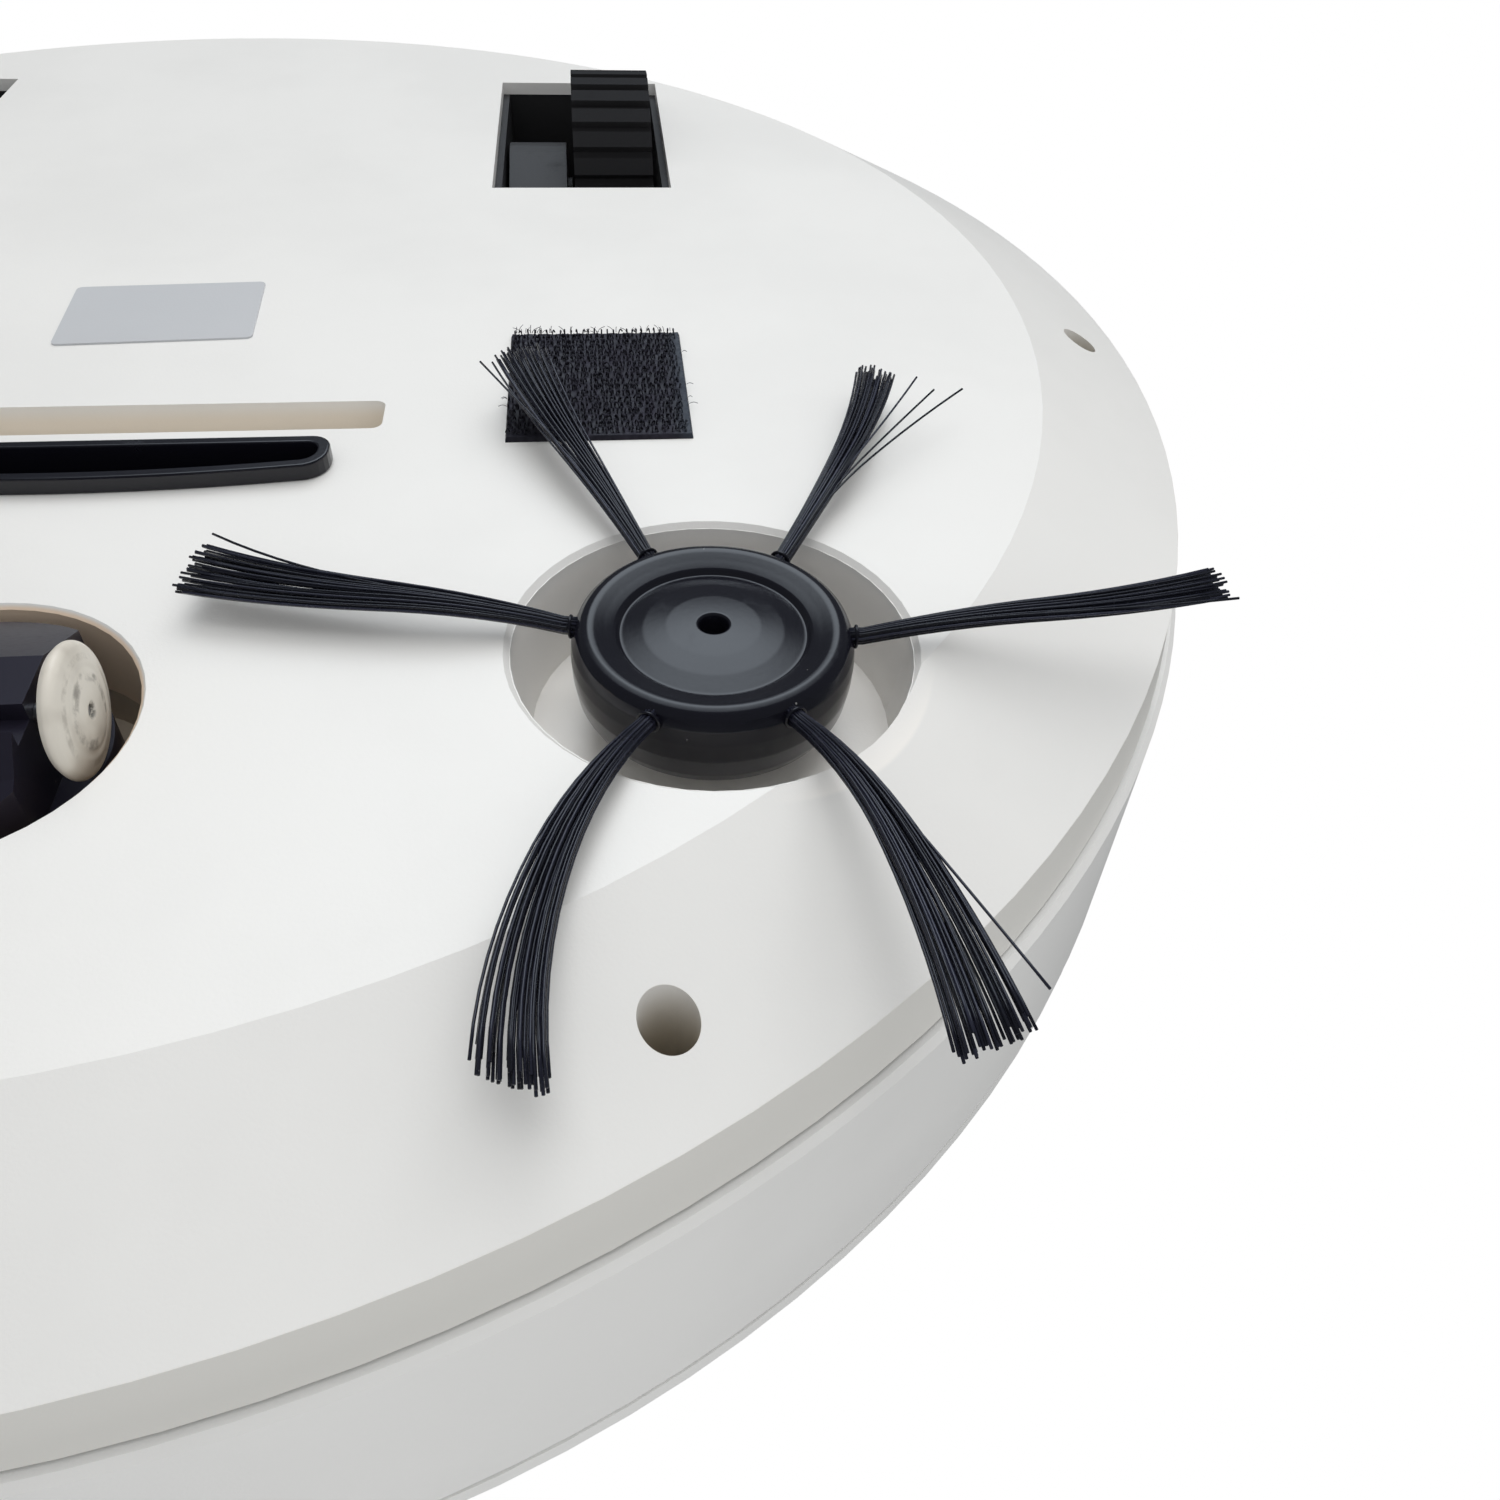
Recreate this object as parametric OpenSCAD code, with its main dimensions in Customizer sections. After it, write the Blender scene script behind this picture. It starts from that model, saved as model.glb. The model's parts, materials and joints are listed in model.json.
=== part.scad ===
// Round robot vacuum with a front bumper, two six-arm side brushes, a suction mouth,
// two sprung drive wheels, a twin-roller caster and a dust bin that pulls out of the back.
// The origin is on the floor under the centre. +Z is up and the bumper faces -Y.

/* [Body] */
// Diameter of the body
body_d = 340; // [330:1:352]
// Height of the top above the floor
body_h = 80; // [79:1:90]
// Height of the flat underside above the floor
ground_gap = 10.6; // [10.4:0.1:11.4]
// Thickness of the shells
wall = 2.5; // [2:0.1:3]
// Width of the conical slope round the flat part of the underside
slope_w = 23; // [20:0.5:26]
// Rise of the conical slope outside the flat part
slope_rise = 11.5; // [9:0.5:13]
// How far the slope ends inside the side wall
slope_inset = 2.5; // [2:0.1:3.5]
// Height of the rim above the slope
rim_rise = 8.8; // [8:0.2:10]
// How far the top of the rim ends inside the side wall
rim_inset = 1.5; // [1.2:0.1:2]
// Height of the skirt and rounded edge of the top cover
crown_h = 10; // [9:0.5:12]
// Radius of the top cover's rounded edge
crown_r = 8; // [5:0.5:8.5]
// Thickness of the bumper and of the rear band
band_t = 2.7; // [2.2:0.1:3]

/* [Bumper] */
// Half of the arc that the rear band leaves to the bumper, in degrees
bumper_half_arc = 79.5; // [76:0.5:82]
// Travel of the bumper
bumper_travel = 3; // [2:0.5:3.5]
// How far the chassis wall behind the bumper stands inside the side wall
wall_inset = 10; // [9:0.5:11]
// Sideways place of the two outer lugs
lug_x = 60; // [56:1:62]
// Width of a lug
lug_w = 12; // [8:1:14]
// Height of the lugs above the floor
lug_z = 50; // [46:1:54]
// Sideways place of the two bumper springs
bumper_spring_x = 36; // [30:1:44]

/* [Side brushes] */
// Distance of a brush axis from the edge of the body
brush_inset = 47.05; // [46.5:0.05:48]
// Direction of a brush axis, in degrees from the sideways line
brush_angle = 46.58; // [46:0.01:47]
// Radius of the recess round a hub
recess_r = 24.2; // [23.5:0.1:25]
// Depth of the recess
recess_depth = 13.1; // [12.6:0.1:14]
// Draft of the recess wall
recess_draft = 1.7; // [1:0.1:2]
// Largest radius of the hub
hub_r = 16.9; // [16:0.1:17.5]
// Radius of the crest on the face of the hub
crest_r = 14.7; // [14:0.1:15]
// Radius of the step inside the crest
step_r = 11.2; // [10.5:0.1:11.8]
// How far the crest stands below the underside
crest_proud = 2.3; // [1.8:0.1:2.8]
// Height of the hub
hub_h = 10.8; // [10:0.1:11.2]
// Radius of the hole in the middle of the hub
hub_hole_r = 1.75; // [1.6:0.05:1.9]
// Number of bristle tufts on a hub
tuft_count = 6; // [3:1:6]
// Gap between the tips of the tufts and the end of the mouth
tuft_clear = 0.1; // [0.1:0.1:4]
// Turn of the first tuft
tuft_turn = 3; // [-5:1:8]
// Width of a tuft at its tip
tuft_tip_w = 6.4; // [4:0.1:7]
// Sideways lean of each tuft's tip, in degrees
tuft_lean = [7, 5, -6, -4, 9, -13];

/* [Brush drive] */
// Gear module
gear_m = 0.8; // [0.8:0.1:0.8]
// Teeth on the brush gear
gear_teeth = 36; // [34:2:36]
// Teeth on the motor pinion
pinion_teeth = 16; // [16:1:17]
// Height of the gear's teeth along the axis
gear_h = 6; // [5:0.5:6.5]
// Radius of the brush spindle
spindle_r = 4; // [3.5:0.1:4.5]
// Side of the square drive on the spindle
drive_w = 5.6; // [5:0.1:6]
// Radius of the brush motor
brush_motor_r = 10; // [9:0.5:10.5]
// Length of the brush motor
brush_motor_h = 26; // [20:1:30]

/* [Caster] */
// Distance of the swivel axis from the front edge of the body
caster_inset = 71.8; // [71:0.1:73]
// Radius of the caster pocket
pocket_r = 20.3; // [20:0.1:21]
// Depth of the pocket wall in the bottom cover
pocket_depth = 11.6; // [11:0.1:12]
// Radius of the rollers, and height of their axle
roller_r = 7.5; // [7.2:0.1:7.6]
// Outer face of a roller from the swivel axis
roller_out = 17.4; // [16.5:0.1:17.4]
// Width of a roller
roller_w = 2.8; // [2.6:0.1:3.2]
// Width of the block that carries the rollers
block_w = 23.6; // [22:0.2:24]
// Distance of the axle in front of the swivel axis
trail = 2.4; // [2:0.1:3]
// Radius of the caster axle
axle_r = 1; // [0.9:0.05:1.2]
// Radius of the caster stem
stem_r = 4; // [3.5:0.1:4.5]

/* [Suction mouth] */
// Length of the mouth across the body
mouth_len = 70; // [64:1:72]
// Rear edge of the mouth in front of the centre
mouth_rear = 44.7; // [44.2:0.1:45.5]
// Width of the mouth at its middle
mouth_w = 9.6; // [9.2:0.1:10.2]
// How much narrower the mouth is at its ends
mouth_bow = 2.4; // [1:0.1:2.6]
// Thickness of the mouth's rim
mouth_rim_t = 1.6; // [1.2:0.1:1.8]
// How far the rim stands below the underside
mouth_proud = 2.5; // [2:0.1:2.6]
// Thickness of the duct's walls
duct_t = 1.8; // [1.4:0.1:2]

/* [Underside] */
// Length of the groove behind the mouth
groove_len = 81.4; // [76:0.2:84]
// Width of the groove
groove_w = 7.8; // [7:0.1:8]
// Middle of the groove in front of the centre
groove_y = 35; // [34.8:0.1:35.2]
// Depth of the groove
groove_depth = 5; // [4:0.1:5.5]
// Size of a hook patch across the body
patch_w = 27; // [24:0.5:28]
// Size of a hook patch along the body
patch_l = 32; // [28:0.5:33]
// Middle of a hook patch, sideways
patch_x = 72; // [70:0.5:73]
// Middle of a hook patch in front of the centre
patch_y = 27.6; // [26:0.1:28]
// Thickness of a hook patch
patch_t = 1.6; // [1.2:0.1:1.6]
// Size of the label across the body
label_w = 30; // [24:0.5:34]
// Size of the label along the body
label_l = 20; // [16:0.5:22]
// Turn of the label
label_turn = -3; // [-5:1:0]
// Distance of the cover screws from the edge of the body
screw_inset = 12.7; // [12.2:0.1:13.2]
// Radius of a screw hole in the underside
screw_hole_r = 3.1; // [2.9:0.05:3.3]
// Number of cover screws
screw_count = 6; // [6:1:6]
// Turn of the first cover screw
screw_turn = 1; // [0:1:2]

/* [Drive wheels] */
// Diameter of a drive wheel
wheel_d = 52; // [51:0.5:52.5]
// Width of a tyre
tyre_w = 16; // [14:0.5:16.4]
// Middle of a wheel, sideways
wheel_x = 77; // [76.6:0.1:77.4]
// Distance of the wheel axle behind the centre
wheel_y = 83; // [82.5:0.5:83.5]
// Thickness of the tyre
tyre_t = 4.2; // [3.5:0.1:5]
// Lugs on a tyre
tyre_lugs = 30; // [24:2:32]
// Distance of the arm pivot behind the centre
pivot_y = 44; // [43.5:0.5:44]
// Height of the arm pivot
pivot_z = 30; // [29:0.5:31]
// Radius of the pivot pin
pivot_r = 2; // [1.8:0.1:2.4]
// Thickness of the arm with its gearbox
arm_t = 12; // [11:0.5:12.2]

/* [Dust bin] */
// Half width of the dust bin
bin_half_w = 49.7; // [48:0.1:49.8]
// Distance of the bin's front wall behind the centre
bin_front = 31.5; // [31.4:0.1:33]
// Bottom of the bin above the floor
bin_z = 33.2; // [33:0.1:34]
// Height of the rear band left above the bin
bin_lintel = 4; // [3:0.1:5]
// Thickness of the bin's walls
bin_t = 2; // [1.6:0.1:2.4]

/* [Fan] */
// Sideways place of the fan's axis
fan_x = 28; // [28:0.5:29]
// Radius of the impeller
impeller_r = 19.5; // [18:0.5:20.5]
// Depth of the fan housing
fan_depth = 24; // [22:0.5:24.5]
// Blades on the impeller
blades = 11; // [7:1:13]
// Radius of the fan motor
fan_motor_r = 12; // [10:0.5:13]

/* [Hidden] */
$fn = 64;

// Clearances: between mating flat faces that move, between curved faces, and in a running fit
gap = 0.3;
slide_gap = 0.7;
fit = 0.05;
eps = 0.01;

// Levels
body_r = body_d / 2;
slope_r = body_r - slope_inset;
flat_r = slope_r - slope_w;
rim_r = body_r - rim_inset;
floor_z = ground_gap + wall;
slope_z = ground_gap + slope_rise;
rim_z = slope_z + rim_rise;
crown_z = body_h - crown_h;
roof_z = body_h - wall;
band_r = body_r - band_t;
slope_angle = atan(slope_rise / (slope_r - flat_r));
inner_flat_r = flat_r - wall * tan(slope_angle / 2);
function slope_inside_z(r) = floor_z + (r - inner_flat_r) * tan(slope_angle);

// Screw posts
screw_circle_r = body_r - screw_inset;
screw_boss_r = screw_hole_r + 2.1;
screw_seat_z = 46;
screw_web = 2.5;
screw_shank_r = 1.5;
screw_head_r = screw_hole_r - gap;

// Bumper
bumper_gap_angle = asin((bumper_travel + 1) / body_r);
bumper_end = 90 - bumper_half_arc + bumper_gap_angle;
lug_h = 4;
hook_h = 9;
hook_t = 3.2;
inner_wall_r = body_r - wall_inset;
inner_wall_in = inner_wall_r - wall;
function hook_front(x) = gap - sqrt(pow(inner_wall_in, 2) - pow(abs(x) + lug_w / 2, 2));
sensor_y = hook_front(lug_x) + hook_t + bumper_travel + gap;

// Side brushes
recess_floor_z = ground_gap + recess_depth;
crest_z = ground_gap - crest_proud;
hub_top_z = crest_z + hub_h;
tuft_root_z = ground_gap + 0.6;
tuft_hole_r = 1.25;
tuft_root_r = tuft_hole_r - 0.15;
tuft_start_r = hub_r - 2.6;
tuft_low_z = ground_gap - 4.2;
brush_x = (body_r - brush_inset) * cos(brush_angle);
brush_y = (body_r - brush_inset) * sin(brush_angle);
tuft_tip_r = norm([brush_x - mouth_len / 2, brush_y - mouth_rear - mouth_w / 2]) - tuft_clear;
tuft_mouth_r = hub_r + 0.4;
tuft_spans = 8;
tuft_sides = 8;
function tuft_angle(i) = 180 - tuft_turn - i * 360 / tuft_count;

// Brush drive
gear_pitch_r = gear_m * gear_teeth / 2;
pinion_pitch_r = gear_m * pinion_teeth / 2;
gear_centres = gear_pitch_r + pinion_pitch_r;
boss_top_z = recess_floor_z + wall + 3.6;
gear_z = boss_top_z + 0.4;
plate_z = gear_z + gear_h + 2;
plate_t = 2;
motor_turn = 60;

// Caster
caster_y = body_r - caster_inset;
cup_z = ground_gap + pocket_depth;
cup_roof_z = cup_z + 5.4;
turret_base_z = 2 * roller_r + 1.2;
guide_z = cup_roof_z - 2.5;
turret_lip = 0.8;
turret_top_z = guide_z - gap - turret_lip;
turret_r = pocket_r - 3.1;
stem_boss_r = 6.5;
stem_top_z = cup_roof_z + 8.5;
block_x = block_w / 2;

// Drive modules
well_x0 = wheel_x - tyre_w / 2 - arm_t - 4;
well_x1 = wheel_x + tyre_w / 2 + 3;
well_y0 = wheel_y - wheel_d / 2 - 6.5;
well_y1 = wheel_y + wheel_d / 2 + 4;
frame_t = 1.8;
frame_roof_z = 58;
frame_y0 = pivot_y - 9.5;
flange_front = 2.8;
flange_side = 5;
flange_rear = 3.5;
arm_x0 = well_x0 + 2.2;
arm_x1 = arm_x0 + arm_t;
wheel_r = wheel_d / 2;
tail_y = wheel_y + 21;
tail_z = pivot_z;
tail_r = 6;
spring_r = 4;

// Bin
bin_top_z = crown_z - bin_lintel;
bin_lid_t = 2.4;
bin_rear_wall = body_r - 18;
inlet_x0 = -45;
inlet_x1 = -7;
inlet_z0 = bin_z + 2.8;
inlet_z1 = bin_top_z - bin_lid_t - 5.6;
filter_x0 = 10;
filter_x1 = 44;

// ---------------------------------------------------------------- shapes used more than once

module ring(r_out, r_in, z0, z1) {
    translate([0, 0, z0]) difference() {
        cylinder(r = r_out, h = z1 - z0, $fn = 96);
        translate([0, 0, -1]) cylinder(r = r_in, h = z1 - z0 + 2, $fn = 96);
    }
}

// A wall bent round the Z axis, from angle a0 to angle a1
module arc_wall(r_out, r_in, z0, z1, a0, a1) {
    rotate([0, 0, a0]) rotate_extrude(angle = a1 - a0, $fn = 180)
        translate([r_in, z0]) square([r_out - r_in, z1 - z0]);
}

module box(low, high) {
    translate(low) cube(high - low);
}

module tube_x(r, x0, x1, y, z) {
    translate([x0, y, z]) rotate([0, 90, 0]) cylinder(r = r, h = x1 - x0);
}

module tube_y(r, y0, y1, x, z) {
    translate([x, y0, z]) rotate([-90, 0, 0]) cylinder(r = r, h = y1 - y0);
}

// A rectangle with round corners, centred
module round_plate(w, l, r, h) {
    linear_extrude(h) union() {
        square([w - 2 * r, l], center = true);
        square([w, l - 2 * r], center = true);
        for (x = [-1, 1], y = [-1, 1])
            translate([x * (w / 2 - r), y * (l / 2 - r)]) circle(r = r, $fn = 32);
    }
}

// The same shape on the left and on the right: side is 1 on the left, -1 on the right
module on_side(side) {
    if (side > 0) children();
    else mirror([1, 0, 0]) children();
}

// Place of the left brush axis
module at_brush() {
    translate([brush_x, -brush_y, 0]) children();
}

// Everything above the outer face of the underside
module above_underside() {
    rotate_extrude($fn = 180) polygon([
        [0, ground_gap], [flat_r, ground_gap], [slope_r, slope_z], [rim_r, rim_z],
        [rim_r, body_h], [0, body_h]
    ]);
}

// The room inside the bottom cover, up to the top cover
module inside_of_cover() {
    rotate_extrude($fn = 180) polygon([
        [0, floor_z], [inner_flat_r, floor_z], [slope_r - wall, slope_inside_z(slope_r - wall)],
        [slope_r - wall, roof_z], [0, roof_z]]);
}

module at_cover_screws() {
    for (i = [0 : screw_count - 1])
        rotate([0, 0, screw_turn + i * 360 / screw_count])
            translate([screw_circle_r, 0, 0]) children();
}

// A round coil spring along Z, drawn as closed turns
module coil_spring(r, wire, length, turns) {
    steps = turns * 12;
    rise = (length - 2 * wire) / steps;
    sides = 6;
    points = [for (i = [0 : steps], k = [0 : sides - 1])
        let (a = i * 30, b = k * 360 / sides, q = r + wire * cos(b))
        [q * cos(a), q * sin(a), wire + i * rise + wire * sin(b)]];
    faces = concat(
        [[for (k = [0 : sides - 1]) k]],
        [for (i = [0 : steps - 1], k = [0 : sides - 1])
            let (n = (k + 1) % sides)
            [i * sides + k, (i + 1) * sides + k, (i + 1) * sides + n, i * sides + n]],
        [[for (k = [sides - 1 : -1 : 0]) steps * sides + k]]);
    polyhedron(points = points, faces = faces);
}

// Involute gear outline: a point on the flank at radius r, turned to the tooth's side
function involute_angle(base_r, r) =
    let (t = sqrt(max(0, r * r / (base_r * base_r) - 1))) t * 180 / PI - atan(t);
function flank(m, teeth, r, backlash) =
    let (pitch_r = m * teeth / 2, base_r = pitch_r * cos(20),
         half = 90 / teeth - backlash / pitch_r * 90 / PI)
    half + involute_angle(base_r, pitch_r) - involute_angle(base_r, max(r, base_r));

module gear_outline(m, teeth, backlash) {
    pitch_r = m * teeth / 2;
    base_r = pitch_r * cos(20);
    tip_r = pitch_r + 0.85 * m;
    root_r = pitch_r - 1.15 * m;
    low_r = max(base_r, root_r + 0.1);
    radii = [root_r, low_r, (low_r + tip_r) / 2, tip_r];
    polygon([for (i = [0 : teeth - 1]) let (mid = i * 360 / teeth)
        each concat(
            [for (r = radii) let (a = mid - flank(m, teeth, r, backlash)) [r * cos(a), r * sin(a)]],
            [for (k = [3 : -1 : 0]) let (r = radii[k], a = mid + flank(m, teeth, r, backlash))
                [r * cos(a), r * sin(a)]])]);
}

// Outline of the suction mouth: straight at the back, bowed at the front, set in by k
function mouth_front_y(x, k) =
    -mouth_rear - mouth_w + k + mouth_bow * pow(x / (mouth_len / 2), 2);
function mouth_points(k) =
    let (hx = mouth_len / 2 - k, rear = -mouth_rear - k, rr = 2.6 - k * 0.6, rf = 4 - k,
         cy = mouth_front_y(hx - rf, k) + rf)
    concat(
        [for (a = [0 : 15 : 90]) [hx - rr + rr * cos(a), rear - rr + rr * sin(a)]],
        [for (a = [90 : 15 : 180]) [-hx + rr + rr * cos(a), rear - rr + rr * sin(a)]],
        [for (a = [180 : 15 : 270]) [-hx + rf + rf * cos(a), cy + rf * sin(a)]],
        [for (i = [1 : 11]) let (x = (-1 + i / 6) * (hx - rf)) [x, mouth_front_y(x, k)]],
        [for (a = [270 : 15 : 360]) [hx - rf + rf * cos(a), cy + rf * sin(a)]]);

module mouth_solid(k, z0, z1) {
    translate([0, 0, z0]) linear_extrude(z1 - z0) polygon(mouth_points(k));
}

// ---------------------------------------------------------------- covers

// Moulded underside: flat middle, conical slope, rim, pockets, posts and the wall behind the bumper
module bottom_cover() color([0.94, 0.94, 0.93]) {
    difference() {
        intersection() {
            above_underside();
            union() {
                cover_shell();
                at_cover_screws() cylinder(r = screw_boss_r, h = screw_seat_z + screw_web, $fn = 32);
                bumper_wall();
                for (side = [-1, 1]) on_side(side) at_brush() brush_recess_outside();
                translate([0, -caster_y, 0]) caster_pocket_outside();
                translate([0, -groove_y, ground_gap])
                    round_plate(groove_len + 4, groove_w + 4, 2.5, groove_depth + 2);
                floor_posts();
            }
        }
        at_cover_screws() {
            translate([0, 0, -1]) cylinder(r = screw_hole_r, h = screw_seat_z + 1, $fn = 48);
            cylinder(r = screw_shank_r + fit, h = body_h, $fn = 32);
        }
        for (side = [-1, 1]) on_side(side) {
            at_brush() brush_recess_inside();
            box([well_x0, well_y0, 0], [well_x1, well_y1, floor_z + 1]);
        }
        translate([0, -caster_y, 0]) {
            cylinder(r = pocket_r, h = cup_z + 1, $fn = 96);
            translate([0, 0, ground_gap - eps]) cylinder(r1 = pocket_r + 0.6, r2 = pocket_r, h = 0.6);
        }
        mouth_solid(0.4, 0, floor_z + 1);
        translate([0, -groove_y, 0]) round_plate(groove_len, groove_w, 1.6, ground_gap + groove_depth);
    }
}

module cover_shell() {
    rotate_extrude($fn = 180) polygon([
        [0, ground_gap], [flat_r, ground_gap], [slope_r, slope_z], [rim_r, rim_z],
        [rim_r - wall, rim_z], [slope_r - wall, slope_inside_z(slope_r - wall)],
        [inner_flat_r, floor_z], [0, floor_z]
    ]);
}

// The chassis wall behind the bumper, with slots for the lugs and notches for the screw posts
module bumper_wall() {
    difference() {
        arc_wall(inner_wall_r, inner_wall_in, ground_gap, roof_z,
            -90 - bumper_half_arc, -90 + bumper_half_arc);
        for (x = [-lug_x, 0, lug_x])
            box([x - lug_w / 2 - 0.5, -body_r, lug_z - lug_h / 2 - 0.5],
                [x + lug_w / 2 + 0.5, -body_r / 2, lug_z + lug_h / 2 + 0.5]);
        at_cover_screws()
            translate([0, 0, screw_seat_z + screw_web]) cylinder(r = screw_boss_r + gap, h = body_h);
    }
}

module brush_recess_outside() {
    translate([0, 0, ground_gap])
        cylinder(r1 = recess_r + 2, r2 = recess_r - recess_draft + 2, h = recess_depth + wall, $fn = 96);
    cylinder(r = spindle_r + 3, h = boss_top_z);
}

module brush_recess_inside() {
    translate([0, 0, -1]) cylinder(r = recess_r, h = ground_gap + 1 + eps, $fn = 96);
    translate([0, 0, ground_gap])
        cylinder(r1 = recess_r, r2 = recess_r - recess_draft, h = recess_depth, $fn = 96);
    translate([0, 0, ground_gap - eps]) cylinder(r1 = recess_r + 0.7, r2 = recess_r, h = 0.7, $fn = 96);
    cylinder(r = spindle_r + fit, h = boss_top_z + 1);
}

module caster_pocket_outside() {
    translate([0, 0, ground_gap]) cylinder(r = pocket_r + cup_wall, h = pocket_depth, $fn = 96);
    for (a = [90, 210, 330]) rotate([0, 0, a])
        translate([ear_place, 0, 0]) cylinder(r = ear_r, h = cup_z, $fn = 32);
}

// Rails under the bin, posts under the board, and seats behind the bumper's lugs
module floor_posts() {
    for (x = [-1, 1]) {
        rail_x = x * (bin_half_w - 0.7);
        guide_x = x * (bin_half_w + 1.4);
        box([rail_x - 3, bin_front + 2, ground_gap], [rail_x + 3, body_r - 12, bin_z - gap]);
        box([guide_x - 0.7, bin_front + 2, ground_gap], [guide_x + 0.7, body_r - 20, bin_z + 8]);
        box([x * lug_x - 4, sensor_y, ground_gap], [x * lug_x + 4, sensor_y + 6.5, lug_z - 6]);
    }
    at_board_posts() cylinder(r = 2.6, h = board_z, $fn = 32);
}

// Top cover: a shallow cap with a rounded edge, screw posts and a guide for the button
module top_cover() color([0.95, 0.95, 0.94]) {
    difference() {
        union() {
            rotate_extrude($fn = 180) polygon(concat(
                [[0, body_h]],
                [for (a = [90 : -10 : 0])
                    [body_r - 0.2 - crown_r + crown_r * cos(a), body_h - crown_r + crown_r * sin(a)]],
                [[body_r - 0.2, crown_z], [band_r, crown_z]],
                [for (a = [0 : 10 : 90])
                    [body_r - 0.2 - crown_r + (crown_r - wall) * cos(a),
                     body_h - crown_r + (crown_r - wall) * sin(a)]],
                [[0, roof_z]]));
            at_cover_screws() translate([0, 0, screw_seat_z + screw_web])
                cylinder(r = screw_boss_r - 1, h = roof_z - screw_seat_z - screw_web + 1, $fn = 32);
            button_posts(roof_z + eps);
        }
        at_cover_screws() translate([0, 0, screw_seat_z])
            cylinder(r = screw_shank_r + fit, h = 20, $fn = 32);
        translate([0, -button_y, 0]) cylinder(r = button_r + gap, h = body_h + 1);
        translate([0, -button_y, body_h - 0.8])
            cylinder(r1 = button_r + gap, r2 = button_r + 1.6, h = 0.8 + eps);
    }
}

// Power button on the top
button_r = 12;
button_y = 96;
button_travel = 1.2;
button_dish = 0.4;
button_dish_r = 60;
button_board_z = roof_z - 9;
module button_posts(top) {
    for (x = [-1, 1], y = [-1, 1]) translate([x * 17, y * 13 - button_y, button_board_z + 1.6])
        cylinder(r = 2.4, h = top - button_board_z - 1.6, $fn = 32);
}

module power_button() color([0.86, 0.87, 0.88]) translate([0, -button_y, 0]) {
    difference() {
        union() {
            translate([0, 0, roof_z - 1.6]) cylinder(r = button_r, h = wall + 1.5);
            translate([0, 0, roof_z - 1.6]) cylinder(r = button_r + 1.4, h = 1.4);
            translate([0, 0, button_board_z + 5.2])
                cylinder(r = 2, h = roof_z - button_board_z - 6.2, $fn = 32);
        }
        translate([0, 0, body_h + button_dish_r - button_dish]) sphere(r = button_dish_r, $fn = 96);
    }
}

module button_board() color([0.12, 0.36, 0.2]) translate([0, -button_y, 0]) {
    translate([0, 0, button_board_z]) round_plate(40, 32, 3, 1.6);
    translate([0, 0, button_board_z + 1.6]) round_plate(6.2, 6.2, 0.8, 2.2);
}

// Side wall behind the bumper's ends, with the bin's window, exhaust slots and the jack's hole
jack_angle = 168;
jack_z = 50;
jack_r = 4.2;
exhaust_y0 = 10;
exhaust_y1 = 28;
exhaust_z0 = 41;
exhaust_z1 = 57;
module rear_band() color([0.9, 0.9, 0.89]) {
    difference() {
        rotate([0, 0, bumper_half_arc - 90]) rotate_extrude(angle = 360 - 2 * bumper_half_arc, $fn = 180)
            polygon([[band_r, rim_z], [body_r - 0.8, rim_z], [body_r, rim_z + 1],
                [body_r, crown_z - 1], [body_r - 0.8, crown_z], [band_r, crown_z]]);
        box([-bin_half_w - gap, body_r / 2, 0], [bin_half_w + gap, body_r + 1, bin_top_z + slide_gap]);
        for (y = [exhaust_y0 + 1.6 : 3.4 : exhaust_y1 - 1])
            box([body_r / 2, y, exhaust_z0 + 1], [body_r + 1, y + 1.8, exhaust_z1 - 1]);
        rotate([0, 0, jack_angle]) tube_x(jack_r + gap, body_r / 2, body_r + 1, 0, jack_z);
    }
}

// Front bumper: a curved bar on three lugs that slide in the chassis wall
module bumper() color([0.9, 0.9, 0.89]) {
    low = rim_z + slide_gap;
    high = crown_z - slide_gap;
    rotate([0, 0, bumper_end - 180]) rotate_extrude(angle = 180 - 2 * bumper_end, $fn = 180)
        polygon([[band_r, low], [body_r - 0.8, low], [body_r, low + 1],
            [body_r, high - 1], [body_r - 0.8, high], [band_r, high]]);
    intersection() {
        translate([0, 0, low]) cylinder(r = body_r - 1, h = high - low, $fn = 180);
        for (x = [-lug_x, 0, lug_x]) bumper_lug(x);
    }
}

// One lug: a tongue and, behind the chassis wall, a hook that keeps the bumper in
module bumper_lug(x) {
    hook_y = hook_front(x);
    top = lug_z + lug_h / 2;
    box([x - lug_w / 2, -body_r, top - lug_h], [x + lug_w / 2, hook_y + hook_t, top]);
    box([x - lug_w / 2, hook_y, top - hook_h], [x + lug_w / 2, hook_y + hook_t, top]);
}

module bumper_springs() color([0.7, 0.7, 0.72]) {
    coil_r = 2.4;
    wire = 0.4;
    front = -sqrt(pow(band_r, 2) - pow(bumper_spring_x + coil_r + wire, 2)) + gap;
    back = -sqrt(pow(inner_wall_r, 2) - pow(bumper_spring_x - coil_r - wire, 2)) - gap;
    for (x = [-1, 1]) translate([x * bumper_spring_x, front, lug_z])
        rotate([-90, 0, 0]) coil_spring(coil_r, wire, back - front, 3);
}

// Small switches that the hooks of the outer lugs reach when the bumper is pushed in
module bump_sensors() color([0.1, 0.1, 0.11]) {
    for (x = [-lug_x, lug_x]) translate([x, sensor_y, lug_z - 6]) difference() {
        translate([-4, 0, 0]) cube([8, 6.5, 10]);
        translate([-1.4, -1, 4.5]) cube([2.8, 4, 6]);
    }
}

// ---------------------------------------------------------------- underside trim

module hook_patch() color([0.14, 0.14, 0.17]) {
    translate([patch_x, -patch_y, ground_gap - patch_t]) round_plate(patch_w, patch_l, 0.6, patch_t);
}
module left_hook_patch() on_side(1) hook_patch();
module right_hook_patch() on_side(-1) hook_patch();

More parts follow.
